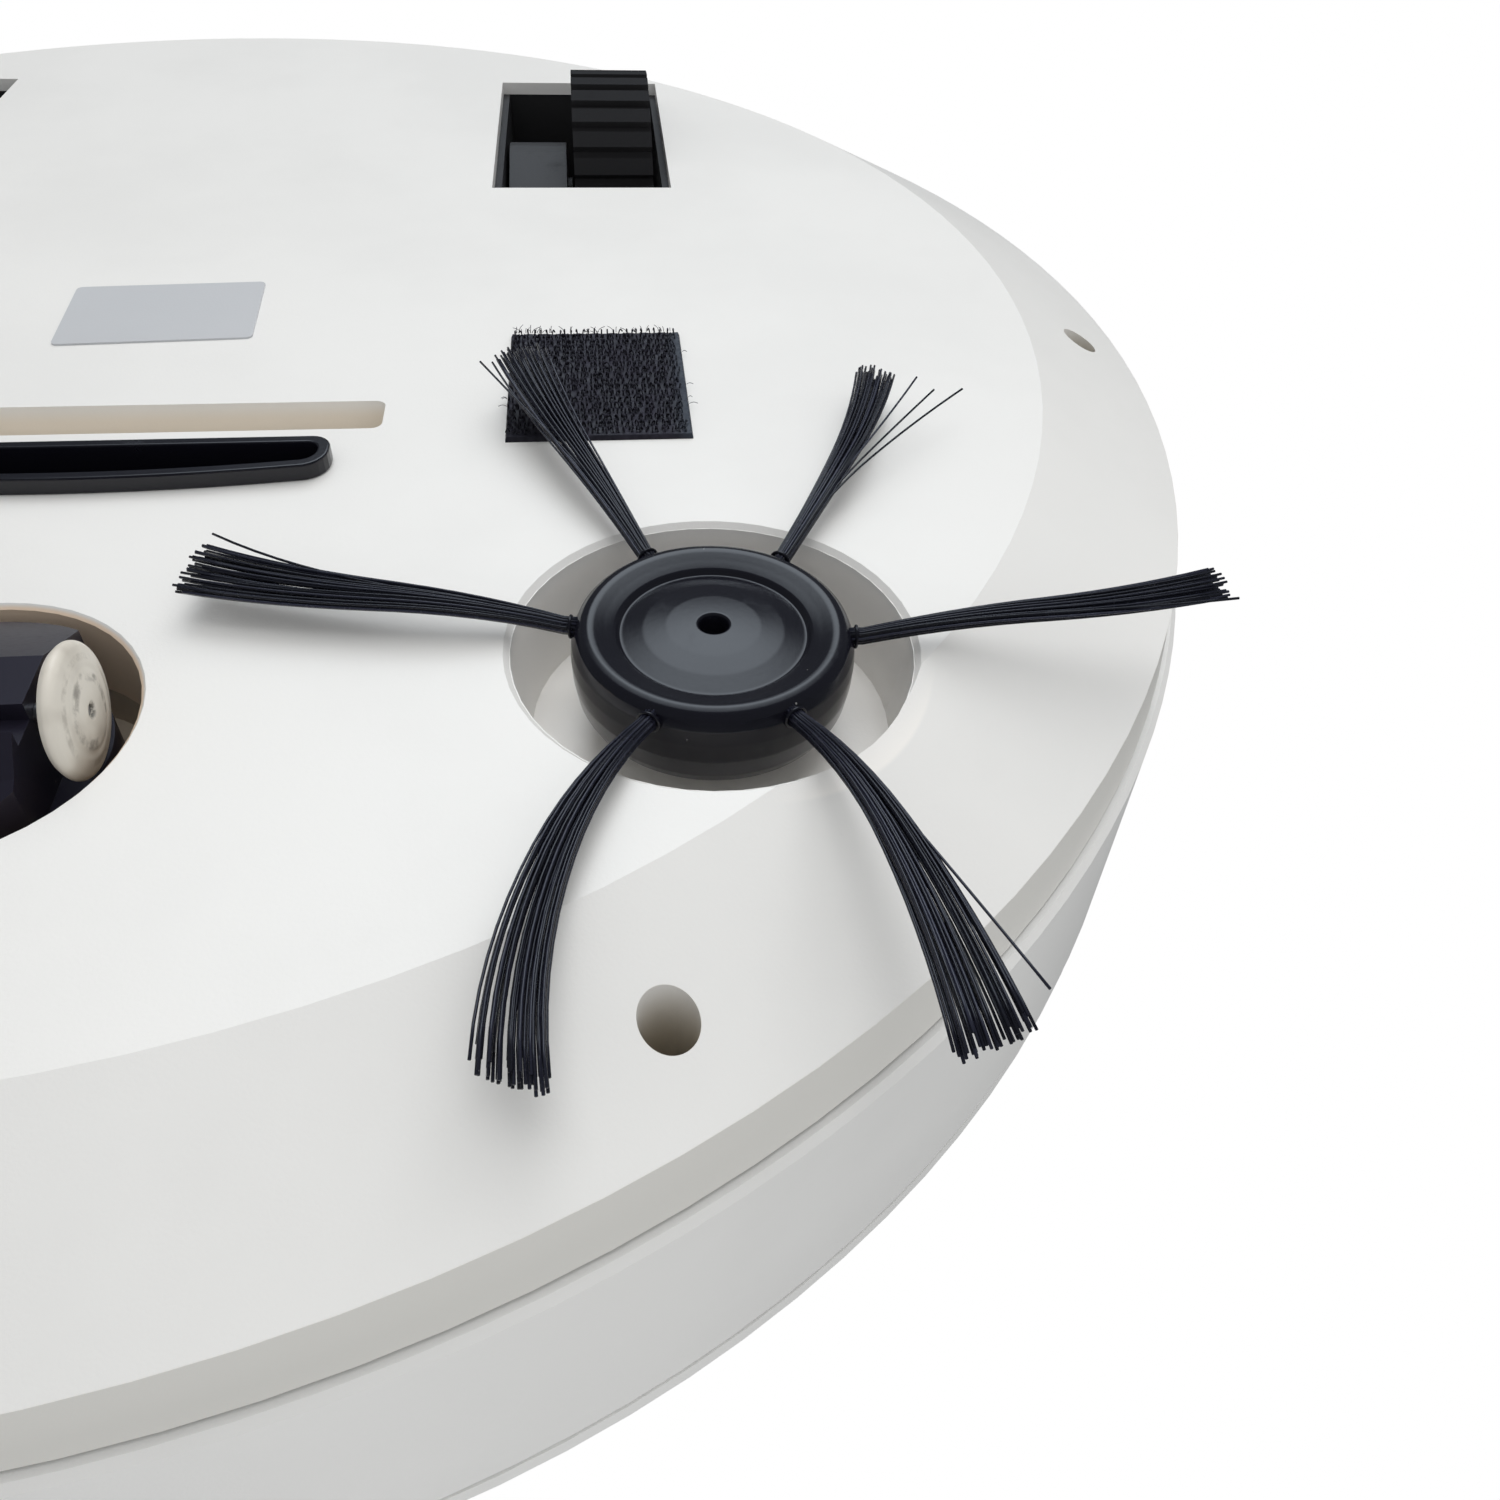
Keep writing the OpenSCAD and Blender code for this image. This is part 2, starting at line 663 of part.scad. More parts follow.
module bare_label() color([0.75, 0.75, 0.76]) {
    translate([-2.5, -1.8, ground_gap - 0.3]) rotate([0, 0, label_turn])
        round_plate(label_w, label_l, 1, 0.3);
}

module cover_screws() color([0.72, 0.72, 0.74]) {
    at_cover_screws() difference() {
        union() {
            translate([0, 0, screw_seat_z - 2.4])
                cylinder(r1 = screw_head_r - 0.8, r2 = screw_head_r, h = 0.8);
            translate([0, 0, screw_seat_z - 1.6]) cylinder(r = screw_head_r, h = 1.6, $fn = 32);
            translate([0, 0, screw_seat_z - 1]) cylinder(r = screw_shank_r, h = 17, $fn = 32);
        }
        for (a = [0, 90]) rotate([0, 0, a])
            translate([0, 0, screw_seat_z - 2]) cube([3.2, 0.8, 2], center = true);
    }
}

// ---------------------------------------------------------------- dust path

// Black rim that lines the mouth and stands below the underside
module mouth_rim() color([0.1, 0.1, 0.12]) {
    difference() {
        union() {
            mouth_solid(0, ground_gap - mouth_proud, ground_gap);
            mouth_solid(0.5, ground_gap - 1, floor_z + 4);
        }
        mouth_solid(mouth_rim_t, 0, floor_z + 5);
    }
}

// Hood over the mouth and a channel back to the bin's inlet
duct_x0 = -38;
duct_x1 = 12;
duct_y = 42.4;
duct_z0 = 25.5;
duct_z1 = inlet_z1 + 0.2;
duct_collar = 1.6;
module suction_duct() color([0.3, 0.31, 0.33]) {
    difference() {
        union() {
            hull() duct_hood(0);
            hull() duct_channel(0);
        }
        hull() duct_hood(duct_t);
        hull() duct_channel(duct_t);
        box([-mouth_len / 2 - gap, -mouth_rear - mouth_w - gap, 0],
            [mouth_len / 2 + gap, -mouth_rear + gap, floor_z + 6]);
        box([duct_x0 + duct_t, -duct_y - 4, duct_z0 + duct_t],
            [duct_x1 - duct_t, -duct_y + 2, duct_z1 - duct_t]);
    }
}

module duct_hood(t) {
    low = t > 0 ? floor_z - 1 : floor_z;
    box([-mouth_len / 2 - 2 + t, -mouth_rear - mouth_w - 2 + t, low],
        [mouth_len / 2 + 2 - t, -duct_y - t, floor_z + 7]);
    box([duct_x0 + t, -mouth_rear - mouth_w + 1 + t, duct_z1 - 4], [duct_x1 - t, -duct_y - t, duct_z1 - t]);
}

module duct_channel(t) {
    over = t > 0 ? 1 : 0;
    box([duct_x0 + t, -duct_y - over, duct_z0 + t], [duct_x1 - t, -duct_y + 1, duct_z1 - t]);
    box([inlet_x0 - duct_t + t, bin_front - gap - 1, inlet_z0 - duct_t + t],
        [inlet_x1 + duct_t - t, bin_front - gap + over, inlet_z1 + duct_t - t]);
}

// Dust bin that slides out of the back: an open tray, a scoop in its curved rear face
module dust_bin() color([0.36, 0.38, 0.41]) {
    low = bin_z;
    high = bin_top_z - bin_lid_t;
    difference() {
        intersection() {
            box([-bin_half_w, bin_front, low], [bin_half_w, body_r, high]);
            cylinder(r = body_r, h = body_h, $fn = 180);
        }
        box([-bin_half_w + bin_t, bin_front + bin_t, low + bin_t],
            [bin_half_w - bin_t, bin_rear_wall, high + 1]);
        box([inlet_x0, bin_front - 1, inlet_z0], [inlet_x1, bin_front + bin_t + 1, inlet_z1]);
        box([filter_x0, bin_front - 1, inlet_z0], [filter_x1, bin_front + bin_t + 1, inlet_z1]);
        translate([0, body_r + 3, 0]) scoop();
    }
    // partition between the dust and the filter, and a rib that holds the filter
    box([4, bin_front + 1, low + 1], [5.6, bin_front + 19, high - gap]);
    box([4, bin_front + 17.4, low + 1], [filter_x1 + 4, bin_front + 19, low + 9]);
    filter_cartridge();
}

module scoop() {
    translate([0, 0, bin_z + 7]) linear_extrude(17) scale([1.25, 1]) circle(r = 16);
}

// Pleated filter behind the bin's outlet window
module filter_cartridge() {
    pleat = 3.4;
    x0 = filter_x0 + 0.2;
    count = floor((filter_x1 - filter_x0) / pleat);
    y0 = bin_front + bin_t + 0.2;
    translate([0, 0, inlet_z0 + 0.4]) linear_extrude(21) polygon(concat(
        [for (i = [0 : count]) [x0 + i * pleat, y0 + 6 + (i % 2) * 4]],
        [for (i = [count : -1 : 0]) [x0 + i * pleat, y0 + 3.4 + (i % 2) * 4]]));
    box([filter_x0 - 2, y0 - 0.4, inlet_z0 - 1.5], [filter_x1 + 2, y0 + 11, inlet_z0 + 0.5]);
}

module bin_lid() color([0.3, 0.31, 0.34]) {
    intersection() {
        box([-bin_half_w, bin_front, bin_top_z - bin_lid_t], [bin_half_w, body_r, bin_top_z]);
        cylinder(r = body_r, h = body_h, $fn = 180);
    }
}

// Scroll housing of the fan: the wall spirals out to a nozzle at the bottom
scroll_min = impeller_r + 2.6;
scroll_max = impeller_r + 6;
fan_z = floor_z + scroll_max + 1.5;
fan_y0 = bin_front - gap - fan_depth;
fan_y1 = bin_front - gap;
nozzle_h = 14;
nozzle_x = fan_x + 32;
nozzle_z = fan_z - scroll_max + 0.6;
function scroll_points(t) = [for (a = [0 : 10 : 350])
    let (r = scroll_min + (scroll_max - scroll_min) * a / 360 + t) [r * cos(-90 - a), r * sin(-90 - a)]];
module scroll_solid(t, y0, y1) {
    translate([fan_x, y1, fan_z]) rotate([90, 0, 0]) linear_extrude(y1 - y0) polygon(scroll_points(t));
}
module fan_housing() color([0.2, 0.2, 0.22]) {
    difference() {
        union() {
            scroll_solid(1.6, fan_y0, fan_y1 - 2);
            box([fan_x, fan_y0, nozzle_z - 1.6], [nozzle_x, fan_y1 - 2, nozzle_z + nozzle_h + 1.4]);
        }
        scroll_solid(0, fan_y0 + 1.6, fan_y1);
        box([fan_x, fan_y0 + 1.6, nozzle_z], [nozzle_x + 1, fan_y1, nozzle_z + nozzle_h - 0.6]);
        tube_y(3, fan_y0 - 1, fan_y0 + 3, fan_x, fan_z);
    }
}

// Front plate of the fan with the round inlet that faces the filter
module fan_cover() color([0.24, 0.24, 0.26]) {
    difference() {
        union() {
            scroll_solid(1.6, fan_y1 - 2, fan_y1);
            box([fan_x, fan_y1 - 2, nozzle_z - 1.6], [nozzle_x, fan_y1, nozzle_z + nozzle_h + 1.4]);
        }
        tube_y(12, fan_y1 - 3, fan_y1 + 1, fan_x, fan_z);
    }
}

module fan_impeller() color([0.75, 0.76, 0.78]) {
    y0 = fan_y0 + 3;
    tube_y(impeller_r, y0, y0 + 1.4, fan_x, fan_z);
    tube_y(4, y0, y0 + 12, fan_x, fan_z);
    tube_y(1.5, fan_y0 - 20, y0 + 1, fan_x, fan_z);
    translate([fan_x, y0 + 1.2, fan_z]) rotate([-90, 0, 0]) linear_extrude(13)
        for (i = [0 : blades - 1]) rotate([0, 0, i * 360 / blades])
            difference() {
                translate([11, 0]) circle(r = 8.6, $fn = 48);
                translate([11, 0]) circle(r = 7.6, $fn = 48);
                translate([-20, 0]) square([60, 30]);
            }
}

module fan_motor() color([0.68, 0.69, 0.71]) {
    difference() {
        union() {
            tube_y(fan_motor_r, fan_y0 - 24, fan_y0 - 1.5, fan_x, fan_z);
            tube_y(2.9, fan_y0 - 2, fan_y0 + 1.4, fan_x, fan_z);
            for (a = [0 : 120 : 240]) translate([fan_x, 0, fan_z]) rotate([0, a, 0])
                tube_y(2, fan_y0 - 4, fan_y0, 8, 0);
        }
        tube_y(1.5 + fit, fan_y0 - 25, fan_y0 + 2, fan_x, fan_z);
    }
}

// Flattened tube from the fan's nozzle up over the slope to the slots in the rear band
module exhaust_duct() color([0.3, 0.31, 0.33]) {
    z0 = nozzle_z - 1.6;
    difference() {
        intersection() {
            hull() exhaust_ends(0, z0);
            cylinder(r = band_r - gap, h = body_h, $fn = 180);
        }
        hull() exhaust_ends(1.5, z0);
    }
}

module exhaust_ends(t, z0) {
    over = t > 0 ? 1 : 0;
    box([nozzle_x - over, fan_y0 + t + 2, z0 + t], [nozzle_x + 1, fan_y1 - 2 - t, z0 + nozzle_h + 2 - t]);
    box([body_r - 4, exhaust_y0 - 1 + t, exhaust_z0 - 1 + t],
        [body_r + over, exhaust_y1 + 1 - t, exhaust_z1 + 1 - t]);
}

// ---------------------------------------------------------------- power and control

// The tray and the board lie between the brush recess and what stands behind them
recess_rear_y = -brush_y + recess_r + wall;
function between(rear, width) = (recess_rear_y + rear - width) / 2;
function floor_reach(y) = sqrt(pow(inner_flat_r, 2) - pow(y, 2));

cell_r = 9.2;
cell_len = 65;
cell_pitch = 18.7;
cell_count = 4;
tray_wall = 1.8;
tray_floor = 1.5;
tray_h = 14;
tray_size = [cell_len + 6, (cell_count - 1) * cell_pitch + 2 * (cell_r + tray_wall + 0.4)];
tray_y0 = between(frame_y0, tray_size[1]);
tray_x0 = 4 - floor_reach(tray_y0);
module battery_tray() color([0.2, 0.2, 0.22]) {
    low = [tray_x0, tray_y0, floor_z];
    high = [tray_x0 + tray_size[0], tray_y0 + tray_size[1], floor_z + tray_h];
    difference() {
        box(low, high);
        box(low + [tray_wall, tray_wall, tray_floor], high + [-tray_wall, -tray_wall, 1]);
    }
}
module battery_cells() color([0.18, 0.35, 0.62]) {
    z = floor_z + tray_floor + cell_r + fit;
    x0 = tray_x0 + (tray_size[0] - cell_len) / 2;
    y0 = tray_y0 + tray_size[1] / 2 - (cell_count - 1) * cell_pitch / 2;
    for (i = [0 : cell_count - 1]) {
        tube_x(cell_r, x0, x0 + cell_len, y0 + i * cell_pitch, z);
        tube_x(2.8, x0 - 0.8, x0 + cell_len + 0.8, y0 + i * cell_pitch, z);
    }
}

board_z = floor_z + 9.5;
board_t = 1.6;
board_size = [66, 56];
board_y0 = between(fan_y0, board_size[1]);
board_low = [floor_reach(board_y0) - 11 - board_size[0], board_y0];
board_high = board_low + board_size;
post_in = 6;
module at_board_posts() {
    for (x = [board_low[0] + post_in, board_high[0] - post_in],
         y = [board_low[1] + post_in, board_high[1] - post_in])
        translate([x, y, 0]) children();
}
module main_board() color([0.1, 0.34, 0.19]) {
    difference() {
        box([board_low[0], board_low[1], board_z], [board_high[0], board_high[1], board_z + board_t]);
        at_board_posts() cylinder(r = 1.6, h = body_h, $fn = 24);
    }
}
module board_parts() color([0.12, 0.12, 0.13]) {
    translate([board_low[0], board_low[1], board_z + board_t]) {
        box([20, 20, 0], [34, 34, 1.6]);
        box([42, 14, 0], [50, 24, 1.5]);
        box([42, 32, 0], [48, 38, 1.5]);
        box([10, 34, 0], [16, 40, 3]);
        for (y = [16, 24, 32]) box([55, y, 0], [62, y + 6, 6]);
        for (x = [12, 24, 36]) box([x, 49, 0], [x + 9, 54, 6]);
        for (x = [14, 22, 30]) translate([x, 9, 0]) cylinder(r = 3, h = 7, $fn = 32);
    }
}

module charge_jack() color([0.12, 0.12, 0.13]) {
    rotate([0, 0, jack_angle]) difference() {
        union() {
            tube_x(jack_r, body_r - 9, body_r - 0.6, 0, jack_z);
            box([body_r - 16, -5.5, jack_z - 5.5], [body_r - 4, 5.5, jack_z + 5.5]);
        }
        difference() {
            tube_x(2.8, body_r - 13, body_r, 0, jack_z);
            tube_x(1, body_r - 14, body_r - 1.5, 0, jack_z);
        }
    }
}

// ---------------------------------------------------------------- side brushes

// Hub: a round barrel with a crest, a dished band, a step and a low dome round the centre hole
module brush_hub() color([0.16, 0.16, 0.19]) {
    socket_z = crest_z + 5.3;
    at_brush() difference() {
        rotate_extrude($fn = 96) polygon([
            [0, crest_z + 0.2], [step_r * 0.25, crest_z + 0.25], [step_r * 0.5, crest_z + 0.5],
            [step_r * 0.75, crest_z + 0.95], [step_r - 0.3, crest_z + 1.6], [step_r, crest_z + 1.6],
            [step_r + 0.5, crest_z + 1], [(step_r + crest_r) / 2, crest_z + 0.55],
            [crest_r - 0.5, crest_z + 0.08], [crest_r, crest_z], [crest_r + 0.8, crest_z + 0.25],
            [hub_r - 0.7, crest_z + 1], [hub_r - 0.15, crest_z + 2.2], [hub_r, crest_z + 3.7],
            [hub_r - 0.2, crest_z + 6.3], [hub_r - 0.6, hub_top_z - 2], [hub_r - 1.3, hub_top_z - 0.7],
            [hub_r - 2.2, hub_top_z], [0, hub_top_z]]);
        cylinder(r = hub_hole_r, h = socket_z - 0.9);
        cylinder(r = 1, h = socket_z + 1, $fn = 32);
        translate([0, 0, socket_z + hub_h / 2])
            cube([drive_w + 2 * fit, drive_w + 2 * fit, hub_h], center = true);
        ring_hollow(hub_r - 2.6, drive_w, hub_top_z);
        for (i = [0 : tuft_count - 1]) rotate([0, 0, tuft_angle(i)])
            tube_x(tuft_hole_r, tuft_start_r - gap, hub_r + 2, 0, tuft_root_z);
    }
}

// Hollow back of the hub, between its wall and its square socket
module ring_hollow(r_out, r_in, top) {
    difference() {
        translate([0, 0, top - 4.4]) cylinder(r = r_out - 1.4, h = 5);
        cylinder(r = r_in, h = body_h);
        for (a = [0 : 60 : 300]) rotate([0, 0, a + 30]) translate([0, -0.7, 0]) cube([hub_r, 1.4, body_h]);
    }
}

// Section of a tuft at radius r: straight in the hub, then it dips to the floor, spreads and leans
function tuft_ring(r, lean) =
    let (out = max(0, (r - tuft_mouth_r) / (tuft_tip_r - tuft_mouth_r)),
         a = lean * pow(out, 1.3),
         z = tuft_root_z + (tuft_low_z - tuft_root_z) * (1 - pow(1 - min(1, out * 2.1), 2)),
         w = tuft_root_r + (tuft_tip_w / 2 - tuft_root_r) * out, h = tuft_root_r - 0.35 * out)
    [for (k = [0 : tuft_sides - 1]) let (b = k * 360 / tuft_sides)
        [r * cos(a) - sin(a) * w * cos(b), r * sin(a) + cos(a) * w * cos(b), z + h * sin(b)]];
module tuft(lean) {
    radii = concat([tuft_start_r],
        [for (i = [0 : tuft_spans]) tuft_mouth_r + (tuft_tip_r - tuft_mouth_r) * i / tuft_spans]);
    points = [for (r = radii) each tuft_ring(r, lean)];
    faces = concat(
        [[for (k = [tuft_sides - 1 : -1 : 0]) k]],
        [for (i = [0 : tuft_spans], k = [0 : tuft_sides - 1]) let (n = (k + 1) % tuft_sides)
            [i * tuft_sides + k, i * tuft_sides + n, (i + 1) * tuft_sides + n, (i + 1) * tuft_sides + k]],
        [[for (k = [0 : tuft_sides - 1]) (tuft_spans + 1) * tuft_sides + k]]);
    polyhedron(points = points, faces = faces);
}
module brush_tufts() color([0.13, 0.13, 0.16]) {
    at_brush() for (i = [0 : tuft_count - 1]) rotate([0, 0, tuft_angle(i)]) tuft(-tuft_lean[i]);
}

module brush_screw() color([0.7, 0.7, 0.72]) {
    at_brush() {
        translate([0, 0, crest_z + 3.2]) cylinder(r = hub_hole_r - 0.15, h = 1.2, $fn = 32);
        translate([0, 0, crest_z + 3.2]) cylinder(r = 0.9, h = 8, $fn = 32);
    }
}

// Spindle: square drive in the hub, journal in the cover's bore, gear and upper pin
module brush_gear() color([0.93, 0.93, 0.9]) {
    square_z = crest_z + 5.4;
    at_brush() difference() {
        union() {
            translate([0, 0, (square_z + recess_floor_z) / 2])
                cube([drive_w, drive_w, recess_floor_z - square_z], center = true);
            translate([0, 0, recess_floor_z - 0.6]) cylinder(r = spindle_r, h = gear_z - recess_floor_z + 1);
            translate([0, 0, gear_z]) linear_extrude(gear_h) gear_outline(gear_m, gear_teeth, 0.12);
            translate([0, 0, gear_z]) cylinder(r = 2, h = gear_h + plate_t + 3);
        }
        cylinder(r = 0.95, h = crest_z + 13, $fn = 32);
    }
}

module at_brush_motor() {
    at_brush() rotate([0, 0, motor_turn]) translate([gear_centres, 0, 0]) children();
}

module brush_pinion() color([0.85, 0.72, 0.35]) {
    at_brush_motor() rotate([0, 0, 180 + 180 / pinion_teeth]) {
        translate([0, 0, gear_z + 0.3]) linear_extrude(gear_h - 0.6) gear_outline(gear_m, pinion_teeth, 0.12);
        translate([0, 0, gear_z + 0.3]) cylinder(r = 1, h = gear_h + plate_t + 6, $fn = 32);
    }
}

// Plate on three legs that carries the motor and the top of the spindle
module gear_plate() color([0.25, 0.26, 0.28]) {
    at_brush() difference() {
        union() {
            translate([0, 0, plate_z]) linear_extrude(plate_t) union() {
                circle(r = 20);
                rotate(motor_turn) translate([0, -11]) square([gear_centres + 4, 22]);
                rotate(motor_turn) translate([gear_centres, 0]) circle(r = 12);
            }
            for (a = [150, 240, 330]) rotate([0, 0, motor_turn + a])
                translate([gear_pitch_r + 4.4, 0, recess_floor_z + wall])
                    cylinder(r = 2, h = plate_z - recess_floor_z - wall + 1, $fn = 32);
        }
        cylinder(r = 2 + fit, h = body_h);
        rotate([0, 0, motor_turn]) translate([gear_centres, 0, 0]) cylinder(r = 3, h = body_h);
    }
}

module brush_motor() color([0.7, 0.7, 0.72]) {
    at_brush_motor() difference() {
        union() {
            translate([0, 0, plate_z + plate_t]) cylinder(r = brush_motor_r, h = brush_motor_h);
            translate([0, 0, plate_z]) cylinder(r = 2.8, h = plate_t + 1);
            translate([0, 0, plate_z + plate_t + brush_motor_h - 1]) cylinder(r = 3, h = 2.6);
        }
        translate([0, 0, plate_z - 1]) cylinder(r = 1 + fit, h = plate_t + 8, $fn = 32);
    }
}

module left_brush_hub() on_side(1) brush_hub();
module right_brush_hub() on_side(-1) brush_hub();
module left_brush_tufts() on_side(1) brush_tufts();
module right_brush_tufts() on_side(-1) brush_tufts();
module left_brush_screw() on_side(1) brush_screw();
module right_brush_screw() on_side(-1) brush_screw();
module left_brush_gear() on_side(1) brush_gear();
module right_brush_gear() on_side(-1) brush_gear();
module left_pinion() on_side(1) brush_pinion();
module right_pinion() on_side(-1) brush_pinion();
module left_gear_plate() on_side(1) gear_plate();
module right_gear_plate() on_side(-1) gear_plate();
module left_brush_motor() on_side(1) brush_motor();
module right_brush_motor() on_side(-1) brush_motor();

// ---------------------------------------------------------------- caster

module at_caster() {
    translate([0, -caster_y, 0]) children();
}

// Cup that closes the pocket and guides the stem, held by three ears on the pocket's posts
cup_wall = 2.2;
ear_r = 3.2;
ear_place = pocket_r + 6.5;
module caster_cup() color([0.72, 0.67, 0.6]) {
    roof = cup_roof_z + 2;
    at_caster() difference() {
        union() {
            rotate_extrude($fn = 96) polygon([
                [stem_r + fit, guide_z], [stem_boss_r, guide_z], [stem_boss_r, cup_roof_z],
                [pocket_r, cup_roof_z], [pocket_r, cup_z], [pocket_r + cup_wall, cup_z],
                [pocket_r + cup_wall, roof], [stem_boss_r, roof], [stem_boss_r, stem_top_z],
                [stem_r + fit, stem_top_z]]);
            for (a = [90, 210, 330]) rotate([0, 0, a]) {
                translate([ear_place, 0, cup_z]) cylinder(r = ear_r, h = 2, $fn = 32);
                translate([pocket_r + 1, -2, cup_z]) cube([5.5, 4, 2]);
            }
        }
        for (a = [90, 210, 330]) rotate([0, 0, a])
            translate([ear_place, 0, 0]) cylinder(r = 1.2, h = body_h, $fn = 24);
    }
}

// Turret: base disc, stem and the faceted block that carries the axle between the rollers
module caster_turret() color([0.2, 0.2, 0.23]) {
    at_caster() difference() {
        union() {
            translate([0, 0, turret_base_z]) cylinder(r = turret_r - 1.2, h = turret_top_z - turret_base_z);
            translate([0, 0, turret_top_z - eps]) cylinder(r = stem_boss_r - gap, h = turret_lip + eps);
            translate([0, 0, turret_top_z - eps]) cylinder(r = stem_r, h = stem_top_z + 2.4 - turret_top_z);
            intersection() {
                cylinder(r = turret_r, h = turret_top_z);
                translate([-block_x, 0, 0]) rotate([90, 0, 90]) linear_extrude(2 * block_x)
                    polygon(block_profile());
            }
        }
        tube_x(axle_r + fit, -block_x - 1, block_x + 1, -trail, roller_r);
        ring(stem_r + 1, stem_r - 0.7, stem_top_z + 0.5, stem_top_z + 1.3);
    }
}

// Side view of the block, from its front edge to its back edge
function block_profile() = [
    [-turret_r - 1, turret_base_z + 1], [-turret_r - 1, ground_gap + 1.2], [-trail - 9, ground_gap - 2.2],
    [-trail - 5.7, ground_gap - 5.7], [-trail - 5.7, ground_gap - 3.8], [-trail - 1.8, ground_gap - 3.8],
    [-trail - 1.8, ground_gap - 6], [trail + 1.1, ground_gap - 6], [turret_r + 1, ground_gap + 0.4],
    [turret_r + 1, turret_base_z + 1]
];

module caster_axle() color([0.75, 0.75, 0.77]) {
    at_caster() tube_x(axle_r, -roller_out + 0.5, roller_out - 0.5, -trail, roller_r);
}

module caster_clip() color([0.6, 0.6, 0.62]) {
    at_caster() difference() {
        ring(stem_boss_r - 0.6, stem_r - 0.6, stem_top_z + 0.55, stem_top_z + 1.25);
        box([-1.6, 0, 0], [1.6, 10, body_h]);
    }
}

roller_hub_r = 2.6;
// Roller: a short hub against the block, a narrow tread and a domed outer face
module roller() color([0.8, 0.79, 0.77]) {
    inner = roller_out - roller_w;
    at_caster() translate([0, -trail, roller_r]) rotate([0, 90, 0]) difference() {
        rotate_extrude($fn = 96) polygon([
            [0, block_x + gap], [roller_hub_r, block_x + gap], [roller_hub_r, inner], [roller_r - 0.4, inner],
            [roller_r - 0.1, inner + 0.2], [roller_r, inner + 0.5], [roller_r - 0.1, inner + 0.9],
            [roller_r - 0.5, inner + 1.5], [roller_r - 1.3, inner + 2.1], [roller_r - 2.4, inner + 2.5],
            [roller_r - 3.6, roller_out - 0.1], [roller_r - 4.6, roller_out], [0, roller_out]]);
        cylinder(r = axle_r + fit, h = roller_out + 1);
    }
}
module left_roller() on_side(1) roller();
module right_roller() on_side(-1) roller();

// ---------------------------------------------------------------- drive modules

// Inverted box over the well: walls, roof and a flange on the floor
module drive_frame() color([0.15, 0.15, 0.16]) {
    difference() {
        intersection() {
            inside_of_cover();
            union() {
                box([well_x0 - 0.4, frame_y0, floor_z], [well_x1 + 0.4, well_y1 + 2, frame_roof_z]);
                box([well_x0 - 0.4, frame_y0 - flange_front, floor_z],
                    [well_x1 + flange_side, well_y1 + flange_rear, floor_z + 2]);
            }
        }
        box([well_x0 + frame_t - 0.4, frame_y0 + frame_t, 0],
            [well_x1 - frame_t + 0.4, well_y1 + 2 - frame_t, frame_roof_z - frame_t]);
        tube_x(pivot_r + fit, well_x0 - 2, well_x1 + 2, pivot_y, pivot_z);
        for (y = [frame_y0, wheel_y + 12])
            translate([well_x1 + 2.7, y, 0]) cylinder(r = 1.2, h = 30, $fn = 24);
    }
}

module pivot_pin() color([0.75, 0.75, 0.77]) {
    tube_x(pivot_r, well_x0 - 0.4, well_x1 + 0.4, pivot_y, pivot_z);
}

// Swing arm with the closed gearbox, its motor seat and the tail that the spring pushes on
module drive_arm() color([0.17, 0.17, 0.18]) {
    difference() {
        union() {
            hull() {
                tube_x(7, arm_x0, arm_x1, pivot_y, pivot_z, $fn = 32);
                tube_x(12, arm_x0, arm_x1, wheel_y, wheel_r, $fn = 32);
            }
            hull() {
                tube_x(12, arm_x0, arm_x1, wheel_y, wheel_r, $fn = 32);
                tube_x(tail_r, arm_x0, arm_x1, tail_y, tail_z, $fn = 32);
            }
            box([arm_x0, wheel_y - 24, wheel_r + 6], [arm_x1, wheel_y + 10, wheel_r + 14]);
            translate([(arm_x0 + arm_x1) / 2, tail_y, tail_z]) cylinder(r = 2.6, h = tail_r + 3, $fn = 32);
            tube_x(5, arm_x1 - 1, arm_x1 + 0.9, wheel_y, wheel_r);
        }
        tube_x(pivot_r + fit, arm_x0 - 1, arm_x1 + 1, pivot_y, pivot_z);
        tube_x(2.5 + fit, arm_x0 + 2, arm_x1 + 2, wheel_y, wheel_r);
    }
}

module drive_motor() color([0.72, 0.72, 0.74]) {
    x = (arm_x0 + arm_x1) / 2;
    z0 = wheel_r + 14;
    intersection() {
        tube_y(6, wheel_y - 22, wheel_y + 2, x, z0 + 5);
        box([x - 6, 0, z0], [x + 6, body_r, z0 + 10]);
    }
    box([x - 6, wheel_y + 2, z0], [x + 6, wheel_y + 10, z0 + 10]);
    tube_y(2.4, wheel_y - 23.4, wheel_y - 22, x, z0 + 5);
}

module drive_spring() color([0.7, 0.7, 0.72]) {
    low = tail_z + tail_r + 0.2;
    translate([(arm_x0 + arm_x1) / 2, tail_y, low])
        coil_spring(spring_r - 0.5, 0.5, frame_roof_z - frame_t - 0.2 - low, 6);
}

module wheel_hub() color([0.6, 0.61, 0.62]) {
    rim_in = wheel_r - tyre_t - 0.1;
    x0 = wheel_x - tyre_w / 2;
    difference() {
        union() {
            tube_x(rim_in, x0 + 0.5, wheel_x + tyre_w / 2 - 0.5, wheel_y, wheel_r);
            tube_x(2.5, arm_x0 + 2.5, x0 + 1, wheel_y, wheel_r);
        }
        for (a = [0 : 60 : 300]) translate([0, wheel_y, wheel_r]) rotate([a, 0, 0])
            tube_x(4.2, x0 + 3, wheel_x + tyre_w, 0, rim_in - 7.5);
        difference() {
            tube_x(rim_in - 2, wheel_x + tyre_w / 2 - 3, wheel_x + tyre_w, wheel_y, wheel_r);
            tube_x(6, x0, wheel_x + tyre_w, wheel_y, wheel_r);
        }
    }
}

